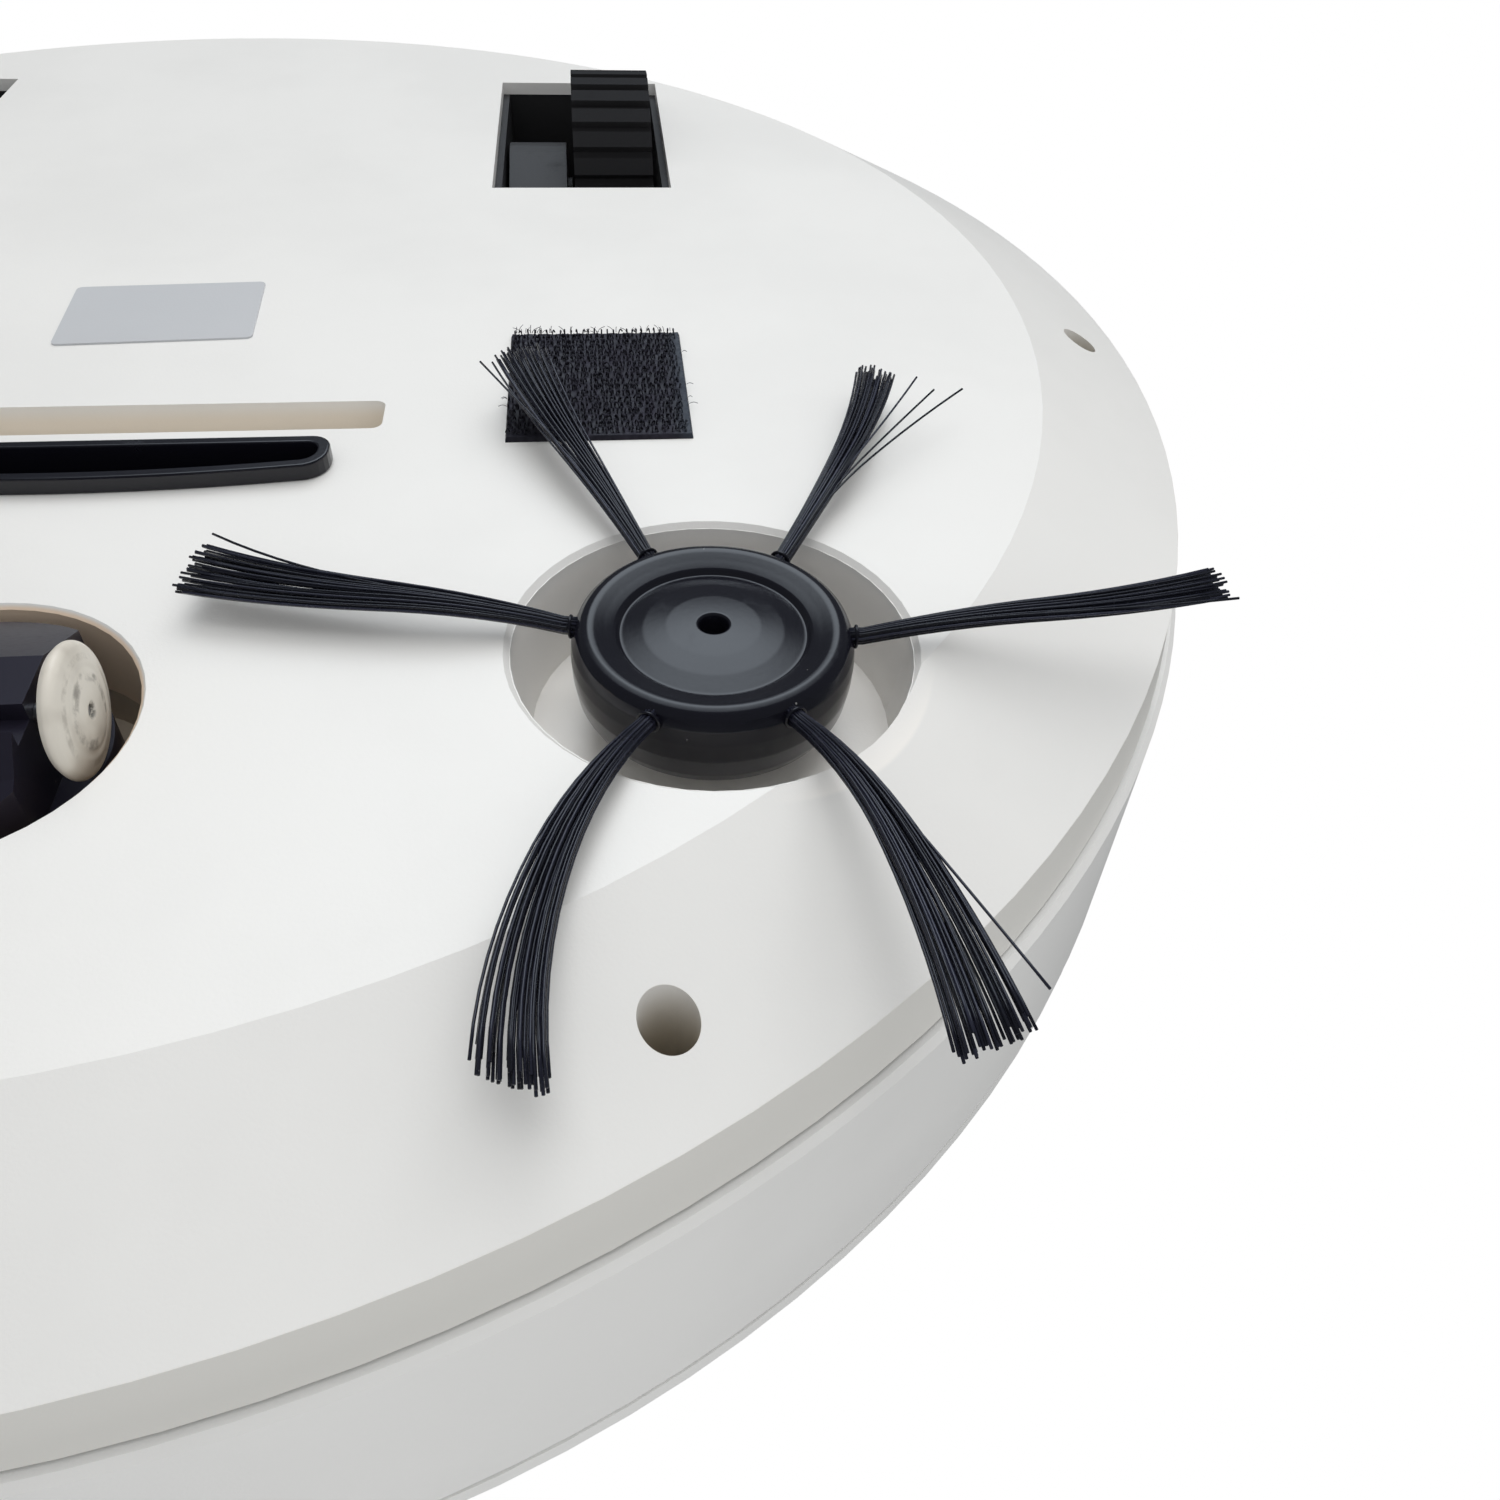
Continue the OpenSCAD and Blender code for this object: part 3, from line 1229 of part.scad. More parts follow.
// Tyre with cross lugs
module tyre() color([0.12, 0.12, 0.13]) {
    groove = 1.2;
    half = 360 / tyre_lugs;
    translate([wheel_x - tyre_w / 2, wheel_y, wheel_r])
    rotate([90, 0, 90]) linear_extrude(tyre_w) difference() {
        polygon([for (i = [0 : tyre_lugs - 1]) each [
            wheel_r * [cos((i - 0.3) * half), sin((i - 0.3) * half)],
            wheel_r * [cos((i + 0.3) * half), sin((i + 0.3) * half)],
            (wheel_r - groove) * [cos((i + 0.38) * half), sin((i + 0.38) * half)],
            (wheel_r - groove) * [cos((i + 0.62) * half), sin((i + 0.62) * half)]]]);
        circle(r = wheel_r - tyre_t);
    }
}

module left_drive_frame() on_side(1) drive_frame();
module right_drive_frame() on_side(-1) drive_frame();
module left_pivot_pin() on_side(1) pivot_pin();
module right_pivot_pin() on_side(-1) pivot_pin();
module left_drive_arm() on_side(1) drive_arm();
module right_drive_arm() on_side(-1) drive_arm();
module left_drive_motor() on_side(1) drive_motor();
module right_drive_motor() on_side(-1) drive_motor();
module left_drive_spring() on_side(1) drive_spring();
module right_drive_spring() on_side(-1) drive_spring();
module left_wheel_hub() on_side(1) wheel_hub();
module right_wheel_hub() on_side(-1) wheel_hub();
module left_tyre() on_side(1) tyre();
module right_tyre() on_side(-1) tyre();

bottom_cover();
top_cover();
rear_band();
mouth_rim();
suction_duct();
right_hook_patch();
left_hook_patch();
bare_label();
caster_cup();
battery_tray();
battery_cells();
main_board();
board_parts();
fan_housing();
fan_cover();
fan_motor();
exhaust_duct();
fan_impeller();
right_gear_plate();
left_gear_plate();
right_brush_motor();
left_brush_motor();
cover_screws();
bump_sensors();
charge_jack();
button_board();
bumper();
bumper_springs();
right_brush_hub();
right_brush_tufts();
right_brush_screw();
right_brush_gear();
left_brush_hub();
left_brush_tufts();
left_brush_screw();
left_brush_gear();
right_pinion();
left_pinion();
caster_turret();
caster_axle();
caster_clip();
right_roller();
left_roller();
right_drive_frame();
right_pivot_pin();
right_drive_arm();
right_drive_motor();
right_drive_spring();
right_wheel_hub();
right_tyre();
left_drive_frame();
left_pivot_pin();
left_drive_arm();
left_drive_motor();
left_drive_spring();
left_wheel_hub();
left_tyre();
dust_bin();
bin_lid();
power_button();
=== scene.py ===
# %% [markdown]
# A round robot vacuum, seen from below
#
# The solids of the machine come in from the CAD frame, already in place and in metres.
# This lesson dresses them. Where a moulded part is right as it is, it only gets a finish.
# Where the real thing is finer than a solid, such as a tuft of filaments or a patch of
# hook tape, we work the surface out with numpy and let it stand for the solid.

# %% Load the frame and keep its box
import json
import math

import bmesh
import bpy
import numpy as np
from mathutils import Matrix, Vector


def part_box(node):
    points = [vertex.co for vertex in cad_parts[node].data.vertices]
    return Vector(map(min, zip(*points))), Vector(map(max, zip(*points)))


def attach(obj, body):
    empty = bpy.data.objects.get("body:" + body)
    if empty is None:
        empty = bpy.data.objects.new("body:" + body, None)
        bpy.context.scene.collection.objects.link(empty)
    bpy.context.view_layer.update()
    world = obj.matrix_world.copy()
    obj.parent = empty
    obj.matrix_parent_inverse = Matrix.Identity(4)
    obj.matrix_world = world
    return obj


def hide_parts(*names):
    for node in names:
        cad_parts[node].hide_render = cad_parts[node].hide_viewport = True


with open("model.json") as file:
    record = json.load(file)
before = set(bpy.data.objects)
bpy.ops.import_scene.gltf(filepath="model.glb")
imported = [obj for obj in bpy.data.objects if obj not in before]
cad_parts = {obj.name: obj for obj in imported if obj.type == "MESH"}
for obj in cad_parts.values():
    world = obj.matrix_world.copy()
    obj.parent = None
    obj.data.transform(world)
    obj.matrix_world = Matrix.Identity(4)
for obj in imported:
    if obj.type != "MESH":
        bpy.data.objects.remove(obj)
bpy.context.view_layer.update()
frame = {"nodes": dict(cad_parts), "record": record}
MM = 0.001
TAU = 2 * math.pi

# %% [markdown]
# Places and sizes
#
# Most places are read from the boxes of the solids, so that the dressing follows when the
# CAD changes. The underside is a flat disc. Its height is where the hook patches are stuck
# on, and the brush axes are the middles of the two hubs. What no box gives is typed, such
# as the ring of cover screws, one every sixty degrees, a little inside the body's edge.

# %% Read the places that the pieces need
def middle(node):
    """The middle of a node's box: half the sum of its two corners."""
    low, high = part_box(node)
    return np.array((low + high) / 2)


SIDES = {"right": -1.0, "left": 1.0}
UNDERSIDE_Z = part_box("right_hook_patch")[1].z
BRUSH_CENTRE = {side: middle(side + "_brush_hub") for side in SIDES}
HUB_RADIUS = (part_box("right_brush_hub")[1].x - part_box("right_brush_hub")[0].x) / 2
BODY_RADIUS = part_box("rear_band")[1].x
CASTER_CENTRE = middle("caster_turret")
ROLLER_AXLE = middle("caster_axle")
SCREW_RADIUS = BODY_RADIUS - 0.0127
SCREW_TURN = math.radians(1)
print("underside at", round(UNDERSIDE_Z / MM, 2), "mm; hub radius", round(HUB_RADIUS / MM, 2))

# %% [markdown]
# The camera
#
# The machine stands on its wheels here, so a camera that wants to see the brushes looks
# up from below. Three directions give its turn: right, up and backwards are the columns
# of its rotation. The floor is made one-sided further on, so it doesn't stand in the way.

# %% Make the camera
EYE = Vector((-0.0729, -0.2046, UNDERSIDE_Z - 0.0965))
LOOK = Vector((-0.10225, 0.70345, 0.70335)).normalized()
RIGHT = Vector((-0.99367, -0.10535, -0.03909)).normalized()
UP = RIGHT.cross(LOOK).normalized()
RIGHT = LOOK.cross(UP).normalized()
camera_data = bpy.data.cameras.new("underside_camera")
camera_data.sensor_width = 36.0
camera_data.lens = 30.12
camera_data.clip_start = 0.005
camera = bpy.data.objects.new("underside_camera", camera_data)
turn = Matrix((RIGHT, UP, -LOOK)).transposed().to_4x4()
camera.matrix_world = Matrix.Translation(EYE) @ turn
bpy.context.scene.collection.objects.link(camera)
bpy.context.scene.camera = camera
bpy.context.scene.view_settings.view_transform = "Standard"
print("camera", [round(c, 4) for c in EYE], "lens", camera_data.lens)

# %% [markdown]
# Shader maths as Python
#
# A material is a graph of small nodes. Written by hand it gets long, so a small class
# wraps a socket and lets us write sums: `mask * 0.5 + 1` adds two Math nodes.

# %% A wrapper for sockets
class Value:
    """A socket that can be used in sums. Each operator adds one Math node."""

    def __init__(self, finish, socket):
        self.finish = finish
        self.socket = socket

    def math(self, operation, *values):
        """Adds a Math node of the given operation on the given values."""
        return self.finish.add("ShaderNodeMath", {"operation": operation}, *values)

    def __add__(self, other):
        return self.math("ADD", self, other)

    def __radd__(self, other):
        return self.math("ADD", other, self)

    def __sub__(self, other):
        return self.math("SUBTRACT", self, other)

    def __rsub__(self, other):
        return self.math("SUBTRACT", other, self)

    def __mul__(self, other):
        return self.math("MULTIPLY", self, other)

    def __rmul__(self, other):
        return self.math("MULTIPLY", other, self)

    def __pow__(self, other):
        return self.math("POWER", self, other)

    def __abs__(self):
        return self.math("ABSOLUTE", self)


print("sums of sockets ready")

# %% [markdown]
# A finish
#
# A finish is one material and the few things we do with it: add a node, read a place, add
# noise, make a soft mask, mix two colours, and link the result to the shader. One method
# adds a node of any kind: its settings go first, then the values or links of its sockets.
# Colours are given as they look on screen and made linear, which is what light needs.

# %% A wrapper for materials
def linear(color):
    """A screen colour, 0 to 255, made linear: c/12.92, or ((c + 0.055)/1.055)**2.4 above 0.04045."""
    part = np.array(color[:3], float) / 255
    low, high = part / 12.92, ((part + 0.055) / 1.055) ** 2.4
    return (*[float(v) for v in np.where(part <= 0.04045, low, high)], 1.0)


class Finish:
    """A material with a Principled shader, and the methods that build its graph."""

    def __init__(self, name, color, roughness, **constants):
        """Constants go straight onto the shader's own sockets."""
        self.slot = name
        self.material = bpy.data.materials.new(name + "_finish")
        self.material.use_nodes = True
        self.tree = self.material.node_tree
        self.tree.nodes.clear()
        self.output = self.tree.nodes.new("ShaderNodeOutputMaterial")
        self.shader = self.tree.nodes.new("ShaderNodeBsdfPrincipled")
        self.tree.links.new(self.shader.outputs[0], self.output.inputs[0])
        self.color = linear(color)
        self.put(self.shader.inputs["Base Color"], self.color)
        self.put(self.shader.inputs["Roughness"], roughness)
        for key, value in constants.items():
            self.put(self.shader.inputs[key.replace("_", " ")], value)
        self.material.diffuse_color = self.color
        self.place = self.add("ShaderNodeTexCoord", out="Object")

    def put(self, socket, value):
        """Sets a socket to a number or a colour, or links a Value to it."""
        if isinstance(value, Value):
            self.tree.links.new(value.socket, socket)
        elif value is not None:
            socket.default_value = value

    def add(self, kind, settings=None, *values, out=0, **named):
        """Adds a node: first its settings, then its sockets by order or by name."""
        node = self.tree.nodes.new(kind)
        for key, value in (settings or {}).items():
            setattr(node, key, value)
        for socket, value in zip(node.inputs, values):
            self.put(socket, value)
        for key, value in named.items():
            self.put(node.inputs[key.replace("_", " ")], value)
        return Value(self, node.outputs[out])

    def axes(self, shift=(0, 0, 0)):
        """The x, y and z of a point, in metres, measured from a shifted centre."""
        moved = self.add("ShaderNodeMapping", None, self.place, tuple(-s for s in shift))
        split = self.add("ShaderNodeSeparateXYZ", None, moved).socket.node
        return [Value(self, split.outputs[k]) for k in range(3)]

    def noise(self, per_metre, detail=3.0, rough=0.55):
        """Soft noise between 0 and 1, with the given number of waves to the metre."""
        return self.add("ShaderNodeTexNoise", None, Scale=per_metre, Detail=detail,
                        Roughness=rough, Vector=self.place)

    def step(self, value, low, high):
        """0 below low, 1 above high and a smooth rise between: t*t*(3 - 2*t)."""
        return self.add("ShaderNodeMapRange", {"interpolation_type": "SMOOTHSTEP"},
                        value, low, high, 0.0, 1.0)

    def mix(self, mask, first, second):
        """Mixes two colours: first where the mask is 0, second where it is 1."""
        node = self.tree.nodes.new("ShaderNodeMix")
        node.data_type = "RGBA"
        for socket, value in ((node.inputs[0], mask), (node.inputs[6], first),
                              (node.inputs[7], second)):
            self.put(socket, value)
        return Value(self, node.outputs[2])

    def paint(self, color, roughness, height, depth):
        """Links what changes over the surface; depth is the bump's height in metres."""
        self.put(self.shader.inputs["Base Color"], color)
        self.put(self.shader.inputs["Roughness"], roughness)
        bump = self.add("ShaderNodeBump", None, Strength=1.0, Distance=depth, Height=height)
        self.put(self.shader.inputs["Normal"], bump)
        return self


print("finishes ready")

# %% [markdown]
# Moulded plastics
#
# A moulded shell is never one flat colour: a fine spark-eroded grain breaks up the gloss,
# the colour drifts a little, and dust sits where a hand doesn't reach. The grain is a
# fine noise in the bump and in the roughness; the drift is a slow noise in the colour.
# Dust is the middles of some cells of a Voronoi pattern, picked by another noise.

# %% A function for all moulded plastics
DRIFT_WAVES, SCUFF_WAVES = 22, 180
DUST_CELLS, DUST_PATCHES = 900.0, 420


def moulded(name, color, roughness=0.4, grain=2600, depth=0.00002, drift=0.04, tint=None,
            specks=0.0, **constants):
    """Plastic: colour * (1 - drift * slow noise), roughness + fine noise, grain as bump.

    tint is a function that changes the colour further; specks is the share of dust dots.
    """
    finish = Finish(name, color, roughness, **constants)
    slow = finish.noise(DRIFT_WAVES, 4)
    fine = finish.noise(grain, 2)
    darker = tuple(c * (1 - drift) for c in finish.color[:3]) + (1.0,)
    shade = finish.mix(finish.step(slow, 0.35, 0.7), finish.color, darker)
    if tint:
        shade = tint(finish, shade)
    scuff = finish.step(finish.noise(SCUFF_WAVES, 5, 0.7), 0.58, 0.75)
    rough = fine * 0.08 + (roughness - 0.04) + scuff * 0.10
    if specks:
        dot = finish.add("ShaderNodeTexVoronoi", None, out="Distance", Vector=finish.place,
                         Scale=DUST_CELLS)
        lucky = finish.step(finish.noise(DUST_PATCHES, 2, 0.6), 0.74 - specks, 0.78 - specks)
        dust = (1 - finish.step(dot, 0.08, 0.16)) * lucky
        shade = finish.mix(dust * 0.55, shade, linear((168, 168, 166)))
        rough = rough + dust * 0.3
    return finish.paint(shade, rough, fine, depth)


print("moulded() ready")

# %% [markdown]
# Surfaces from numpy
#
# A surface is a grid of points, rows by columns, worked out as whole arrays. One helper
# joins each point to its neighbours with four-cornered faces, and can close the grid round
# its columns. Another turns points and faces into a piece that rides on a moving body.

# %% Turn grids of points into a piece
def grid_faces(rows, columns, closed):
    """Faces of a grid: corner, next column, next row and column, next row."""
    row = np.arange(rows - 1)[:, None]
    column = np.arange(columns if closed else columns - 1)[None, :]
    following = (column + 1) % columns
    quads = np.stack([row * columns + column, row * columns + following,
                      (row + 1) * columns + following, (row + 1) * columns + column], -1)
    return quads.reshape(-1, 4)


def many(grids):
    """Equal closed grids, shaped (copies, rows, columns, 3), as one list of points and faces."""
    copies, rows, columns = grids.shape[:3]
    one = grid_faces(rows, columns, True)
    shift = (np.arange(copies) * rows * columns)[:, None, None]
    return grids.reshape(-1, 3), (one[None] + shift).reshape(-1, 4)


def add_piece(name, points, quads, material, body, flip=False, tone=None):
    """Makes a mesh object from points and four-cornered faces, and lets it ride on a body.

    flip reverses the corners of each face, which turns its front to the other side. tone is
    a number for each point, kept as an attribute that a material can read.
    """
    points = np.asarray(points, np.float32).reshape(-1, 3)
    quads = np.asarray(quads, np.int32).reshape(-1, 4)
    if flip:
        quads = quads[:, ::-1]
    mesh = bpy.data.meshes.new(name)
    mesh.vertices.add(len(points))
    mesh.vertices.foreach_set("co", points.ravel())
    mesh.loops.add(quads.size)
    mesh.loops.foreach_set("vertex_index", quads.ravel())
    mesh.polygons.add(len(quads))
    mesh.polygons.foreach_set("loop_start", np.arange(0, quads.size, 4, dtype=np.int32))
    mesh.polygons.foreach_set("use_smooth", np.full(len(quads), True))
    if tone is not None:
        mesh.attributes.new("tone", "FLOAT", "POINT").data.foreach_set("value", tone.ravel())
    mesh.update()
    mesh.validate()
    mesh.materials.append(material)
    piece = bpy.data.objects.new(name, mesh)
    bpy.context.scene.collection.objects.link(piece)
    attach(piece, body)
    print(f"{name}: {len(points)} points, {len(quads)} faces")
    return piece


print("pieces from grids ready")

# %% [markdown]
# A lathe and round corners
#
# Hubs and rollers are turned shapes. We draw half an outline as (radius, height) pairs,
# round its corners, because a moulding has no sharp one, and turn it about an axis.

# %% Turn an outline about an axis
def turned(profile, centre, axis, around):
    """A lathe: (r, h) pairs turned about an axis through centre, as a closed grid."""
    profile = np.asarray(profile, float)
    angle = np.linspace(0, TAU, around, endpoint=False)
    r, h = profile[:, 0, None], profile[:, 1, None] + 0 * angle
    u, v = r * np.cos(angle), r * np.sin(angle)
    order = {"z": (u, v, h), "x": (h, u, v)}[axis]
    return np.stack(order, -1) + np.asarray(centre)


def rounded(profile, radius, steps=5):
    """Rounds each inner corner of a (r, h) profile by a quadratic curve of about the radius.

    The curve runs from a point before the corner to one after it, and the corner pulls it:
    (1 - t)**2 * start + 2 * t * (1 - t) * corner + t**2 * end.
    """
    p = np.asarray(profile, float)
    before, corner, after = p[:-2], p[1:-1], p[2:]

    def part_way(a, b):
        """A point on the way from a to b, at the radius or at 0.45 of a shorter way."""
        way = b - a
        length = np.linalg.norm(way, axis=1, keepdims=True)
        return a + way * np.minimum(radius / np.maximum(length, 1e-9), 0.45)

    start, end = part_way(corner, before), part_way(corner, after)
    t = np.linspace(0, 1, steps)[None, :, None]
    curve = (1 - t) ** 2 * start[:, None] + 2 * t * (1 - t) * corner[:, None] + t ** 2 * end[:, None]
    return np.concatenate([p[:1], curve.reshape(-1, 2), p[-1:]])


print("lathe ready")

# %% [markdown]
# Bristles
#
# A side brush has six tufts of some fifty nylon filaments, each 0.3 mm thick. Nylon is
# smooth, so each filament carries a thin line of light along it, and no two catch the light
# Each filament therefore has its own tone, from 0 to 1, which the finish reads as a painted highlight:
# the higher the tone, the lighter and bluer its colour.

# %% Finish of the filaments
nylon = Finish("bristle_nylon", (22, 22, 30), 0.3, Specular_IOR_Level=0.5)
tone = nylon.add("ShaderNodeAttribute", {"attribute_name": "tone"}, out="Fac")
# Painted highlights: the tone and a fine noise mix each filament's colour from near black to a lighter
# blue-grey; the noise also varies the roughness.
glint = nylon.noise(500, 2)
nylon.paint(nylon.mix(tone * 0.8 + glint * 0.2, linear((13, 13, 20)), linear((48, 50, 66))),
            glint * 0.2 + 0.16, nylon.noise(6000, 1), 0.00001)
print("nylon ready")

# %% [markdown]
# The line of a tuft
#
# The filaments leave a small hole side by side, dip towards the floor and spread a little.
# We lay one centre line for each tuft. No two tufts are bent alike, so each has its own
# skew at the hole, lean and drop at the tip, and width of its fan.

# %% Lay the centre line of a tuft
TUFT_TURN = 4.7                                   # degrees the whole brush stands turned
TUFT_SKEW = (3.0, 0.7, 0.2, 0.6, -2.3, -5.0)      # degrees aside at the hole
TUFT_LEAN = (6.6, 3.0, -7.2, -6.6, 7.6, -14.4)    # degrees aside at the tip
TUFT_DROP = (0.0, 3.4, 0.6, 0.3, 0.0, -2.0)       # mm nearer to the floor at the tip
TUFT_FAN = (4.6, 4.0, 2.8, 3.0, 3.9, 3.5)         # half width of the fan in mm
ROOT_R = 0.0146
MOUTH_R = HUB_RADIUS + 0.0004
TIP_R = 0.0634
ROOT_Z = UNDERSIDE_Z - 0.0011
LOW_Z = UNDERSIDE_Z - 0.0042


def tuft_line(tuft, r, aside=0.0):
    """How far out, the azimuth and the height of a tuft at radius r.

    out runs from 0 at the hub's mouth to 1 at the tip. The turn is the tuft's azimuth plus
    skew * (1 - out)**2 + lean * out**1.3. The height falls on a parabola, less drop * out**2.
    """
    out = np.clip((r - MOUTH_R) / (TIP_R - MOUTH_R), 0, 1)
    turn = np.radians(TUFT_TURN + tuft * 60 + TUFT_SKEW[tuft] * (1 - out) ** 2
                      + TUFT_LEAN[tuft] * out ** 1.3 + aside * out ** 1.2)
    dip = 1 - (1 - np.minimum(1, out * 2.1)) ** 2
    return out, turn, ROOT_Z + (LOW_Z - ROOT_Z) * dip - TUFT_DROP[tuft] * MM * out ** 2


print("tufts reach", round(TIP_R / MM, 1), "mm from the brush axis")

# %% [markdown]
# The filaments of a tuft
#
# In the hole a tuft is a round bundle; at the tip it is a flat fan of a few clumps. Each
# filament has a place in both and goes from one to the other. A few have left their tuft.

# %% Lay the filaments along the tuft
FILAMENTS = 54
LINE_STEPS = 16
BUNDLE_R = 0.00098
FAN_HALF_THICKNESS = 0.0006
GOLDEN_ANGLE = 2.39996
# The filaments that left their tuft: its number, degrees aside at the tip, share of the reach
STRAYS = ((4, -6.5, 0.955), (2, 6.0, 0.99), (2, 9.5, 0.96), (2, 12.5, 1.0), (0, 5.6, 0.985),
          (1, -6.0, 0.97), (3, 3.8, 1.0))


def bundle_places(count):
    """Places in a round bundle: radius grows with the root of the number, turned by the golden angle."""
    k = np.arange(count)
    radius = np.sqrt((k + 0.5) / count)
    return radius * np.cos(k * GOLDEN_ANGLE), radius * np.sin(k * GOLDEN_ANGLE)


def filament_lines(random, tuft):
    """Centre lines of one tuft's filaments, shaped (filaments, steps, 3), about the brush axis.

    Sideways, a filament goes from its place u in the bundle to its place in the fan, which
    is its rank among the others, drawn a little towards the middle of one of seven clumps.
    """
    u, v = bundle_places(FILAMENTS)
    rank = np.empty(FILAMENTS)
    rank[np.argsort(u)] = np.linspace(-1, 1, FILAMENTS)
    clump = np.round(rank * 3.5) / 3.5
    fan = rank + (clump - rank) * 0.45 + random.normal(0, 0.035, FILAMENTS)
    reach = TIP_R - np.abs(random.normal(0, 0.0012, FILAMENTS))
    r = ROOT_R + (reach[:, None] - ROOT_R) * np.linspace(0, 1, LINE_STEPS)[None, :]
    out, turn, z = tuft_line(tuft, r)
    across = u[:, None] * BUNDLE_R * (1 - out) + fan[:, None] * TUFT_FAN[tuft] * MM * out ** 1.12
    turn = turn + across / r
    z = z + v[:, None] * (BUNDLE_R * (1 - out) + FAN_HALF_THICKNESS * out)
    z = z + random.normal(0, 0.00022, FILAMENTS)[:, None] * out ** 2
    return np.stack([r * np.cos(turn), r * np.sin(turn), z], -1)


def stray_lines():
    """Single filaments that left their tuft: the tuft's line with a wider turn of their own."""
    lines = []
    for tuft, aside, reach in STRAYS:
        r = np.linspace(ROOT_R, TIP_R * reach, LINE_STEPS)
        out, turn, z = tuft_line(tuft, r, aside)
        lines.append(np.stack([r * np.cos(turn), r * np.sin(turn), z - 0.0008 * out], -1))
    return np.array(lines)


print(6 * FILAMENTS + len(STRAYS), "filaments a brush")

# %% [markdown]
# A ring carried along each line
#
# A curve object could give the filaments their thickness, but a mesh keeps a tone for each
# one. So a small ring is carried along every line and drawn in to almost nothing at both
# ends. The left brush is the right one mirrored.

# %% Make the tufts
FILAMENT_R = 0.000165
END_R = 0.000001


def tubes(lines, radius, sides=6):
    """Rings of the given radius round each point of many lines, square to the line's way.

    The first and last rings are there twice, once drawn in until the hole can't be seen. The
    faces of such a grid look inward until they are flipped, which a render doesn't show.
    """
    way = np.gradient(lines, axis=1)
    way /= np.linalg.norm(way, axis=-1, keepdims=True)
    side = np.cross(way, np.array([0.0, 0.0, 1.0]))
    side /= np.maximum(np.linalg.norm(side, axis=-1, keepdims=True), 1e-9)
    up = np.cross(side, way)
    angle = np.linspace(0, TAU, sides, endpoint=False)[None, None, :, None]
    ring = side[:, :, None] * np.cos(angle) + up[:, :, None] * np.sin(angle)
    first = lines[:, :1, None] + ring[:, :1] * END_R
    last = lines[:, -1:, None] + ring[:, -1:] * END_R
    return np.concatenate([first, lines[:, :, None] + ring * radius, last], axis=1)


for side, sign in SIDES.items():
    random = np.random.default_rng(11)
    lines = np.concatenate([filament_lines(random, k) for k in range(6)] + [stray_lines()])
    lines[..., 0] *= -sign
    lines += np.array([BRUSH_CENTRE[side][0], BRUSH_CENTRE[side][1], 0])
    grids = tubes(lines, FILAMENT_R)
    tones = random.beta(1.2, 2.6, len(lines))[:, None, None] * np.ones(grids.shape[:3])
    points, quads = many(grids)
    tufts = add_piece(side + "_bristle_filaments", points, quads, nylon.material,
                      side + "_brush", flip=sign < 0, tone=tones)
    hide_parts(side + "_brush_tufts")

# %% [markdown]
# Black mouldings
#
# The hub, the caster's block and the mouth's rim are black and glossy. Gloss shows dust
# more than anything, so their finish has a few grey specks that are also rougher.

# %% Finish of the black mouldings
black = moulded("black_gloss", (20, 20, 28), 0.17, 1500, 0.000006, 0.12, specks=0.06,
                Specular_IOR_Level=0.45)
caster_black = moulded("caster_black", (34, 32, 44), 0.3, 1500, 0.000006, 0.12, specks=0.09,
                       Specular_IOR_Level=0.3)
print("black mouldings ready")

# %% [markdown]
# Brush hubs
#
# The hub is a barrel. Its face has a crest, a dished band, a small step and a low dome
# round a screw hole, and the light runs along each of these edges. A lathe with many
# sides and rounded corners catches it better than the plain solid, so we turn the
# profile again, and set a small raised lip round each of the six mouths of the tufts.

# %% Turn the hubs
HUB_H_MM = 11.4
# From the screw hole over the dome, the step and the crest to the back: radius and height in mm,
# the height counted from the crest
HUB_OUTLINE = [
    (1.0, 6.3), (1.0, 4.6), (1.75, 4.4), (1.75, 0.5), (2.0, 0.22), (5.6, 0.5), (8.4, 0.95),
    (10.9, 1.6), (11.2, 1.6), (11.7, 1.0), (12.95, 0.55), (14.2, 0.08), (14.8, 0.0),
    (15.6, 0.25), (16.3, 0.9), (16.85, 2.2), (17.0, 4.1), (16.9, 6.6), (16.5, 9.2),
    (15.8, 10.6), (14.9, HUB_H_MM), (14.0, HUB_H_MM), (13.9, 7.2), (4.2, 7.2), (4.1, 11.3),
    (3.0, 11.3)]
LIP_R = 0.00128
LIP_WIRE_R = 0.0002


def lip_rings(centre, sign, around=20):
    """A small ring round each mouth: a circle of rings in the plane square to the tuft."""
    turn = np.radians(TUFT_TURN + np.arange(6) * 60 + np.array(TUFT_SKEW))[:, None, None]
    a = np.linspace(0, TAU, around)[None, :, None]
    b = np.linspace(0, TAU, 8, endpoint=False)[None, None, :]
    r = HUB_RADIUS + 0.0001 + LIP_WIRE_R * np.sin(b) + 0 * a
    s = (LIP_R + LIP_WIRE_R * np.cos(b)) * np.cos(a)
    z = ROOT_Z + (LIP_R + LIP_WIRE_R * np.cos(b)) * np.sin(a)
    x = -sign * (r * np.cos(turn) - s * np.sin(turn)) + centre[0]
    y = r * np.sin(turn) + s * np.cos(turn) + centre[1]
    return np.stack([x, y, z + 0 * turn], -1)


for side, sign in SIDES.items():
    centre = (BRUSH_CENTRE[side][0], BRUSH_CENTRE[side][1], 0)
    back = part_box(side + "_brush_hub")[1].z
    profile = [(r * MM, back - (HUB_H_MM - h) * MM) for r, h in HUB_OUTLINE]
    face = turned(rounded(profile, 0.00022), centre, "z", 220)
    lips, lip_quads = many(lip_rings(centre, sign))
    if sign < 0:
        lip_quads = lip_quads[:, ::-1]
    points = np.concatenate([face.reshape(-1, 3), lips])
    quads = np.concatenate([grid_faces(*face.shape[:2], True), lip_quads + face.size // 3])
    hub = add_piece(side + "_hub_turned", points, quads, black.material, side + "_brush",
                    flip=True)
    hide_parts(side + "_brush_hub")

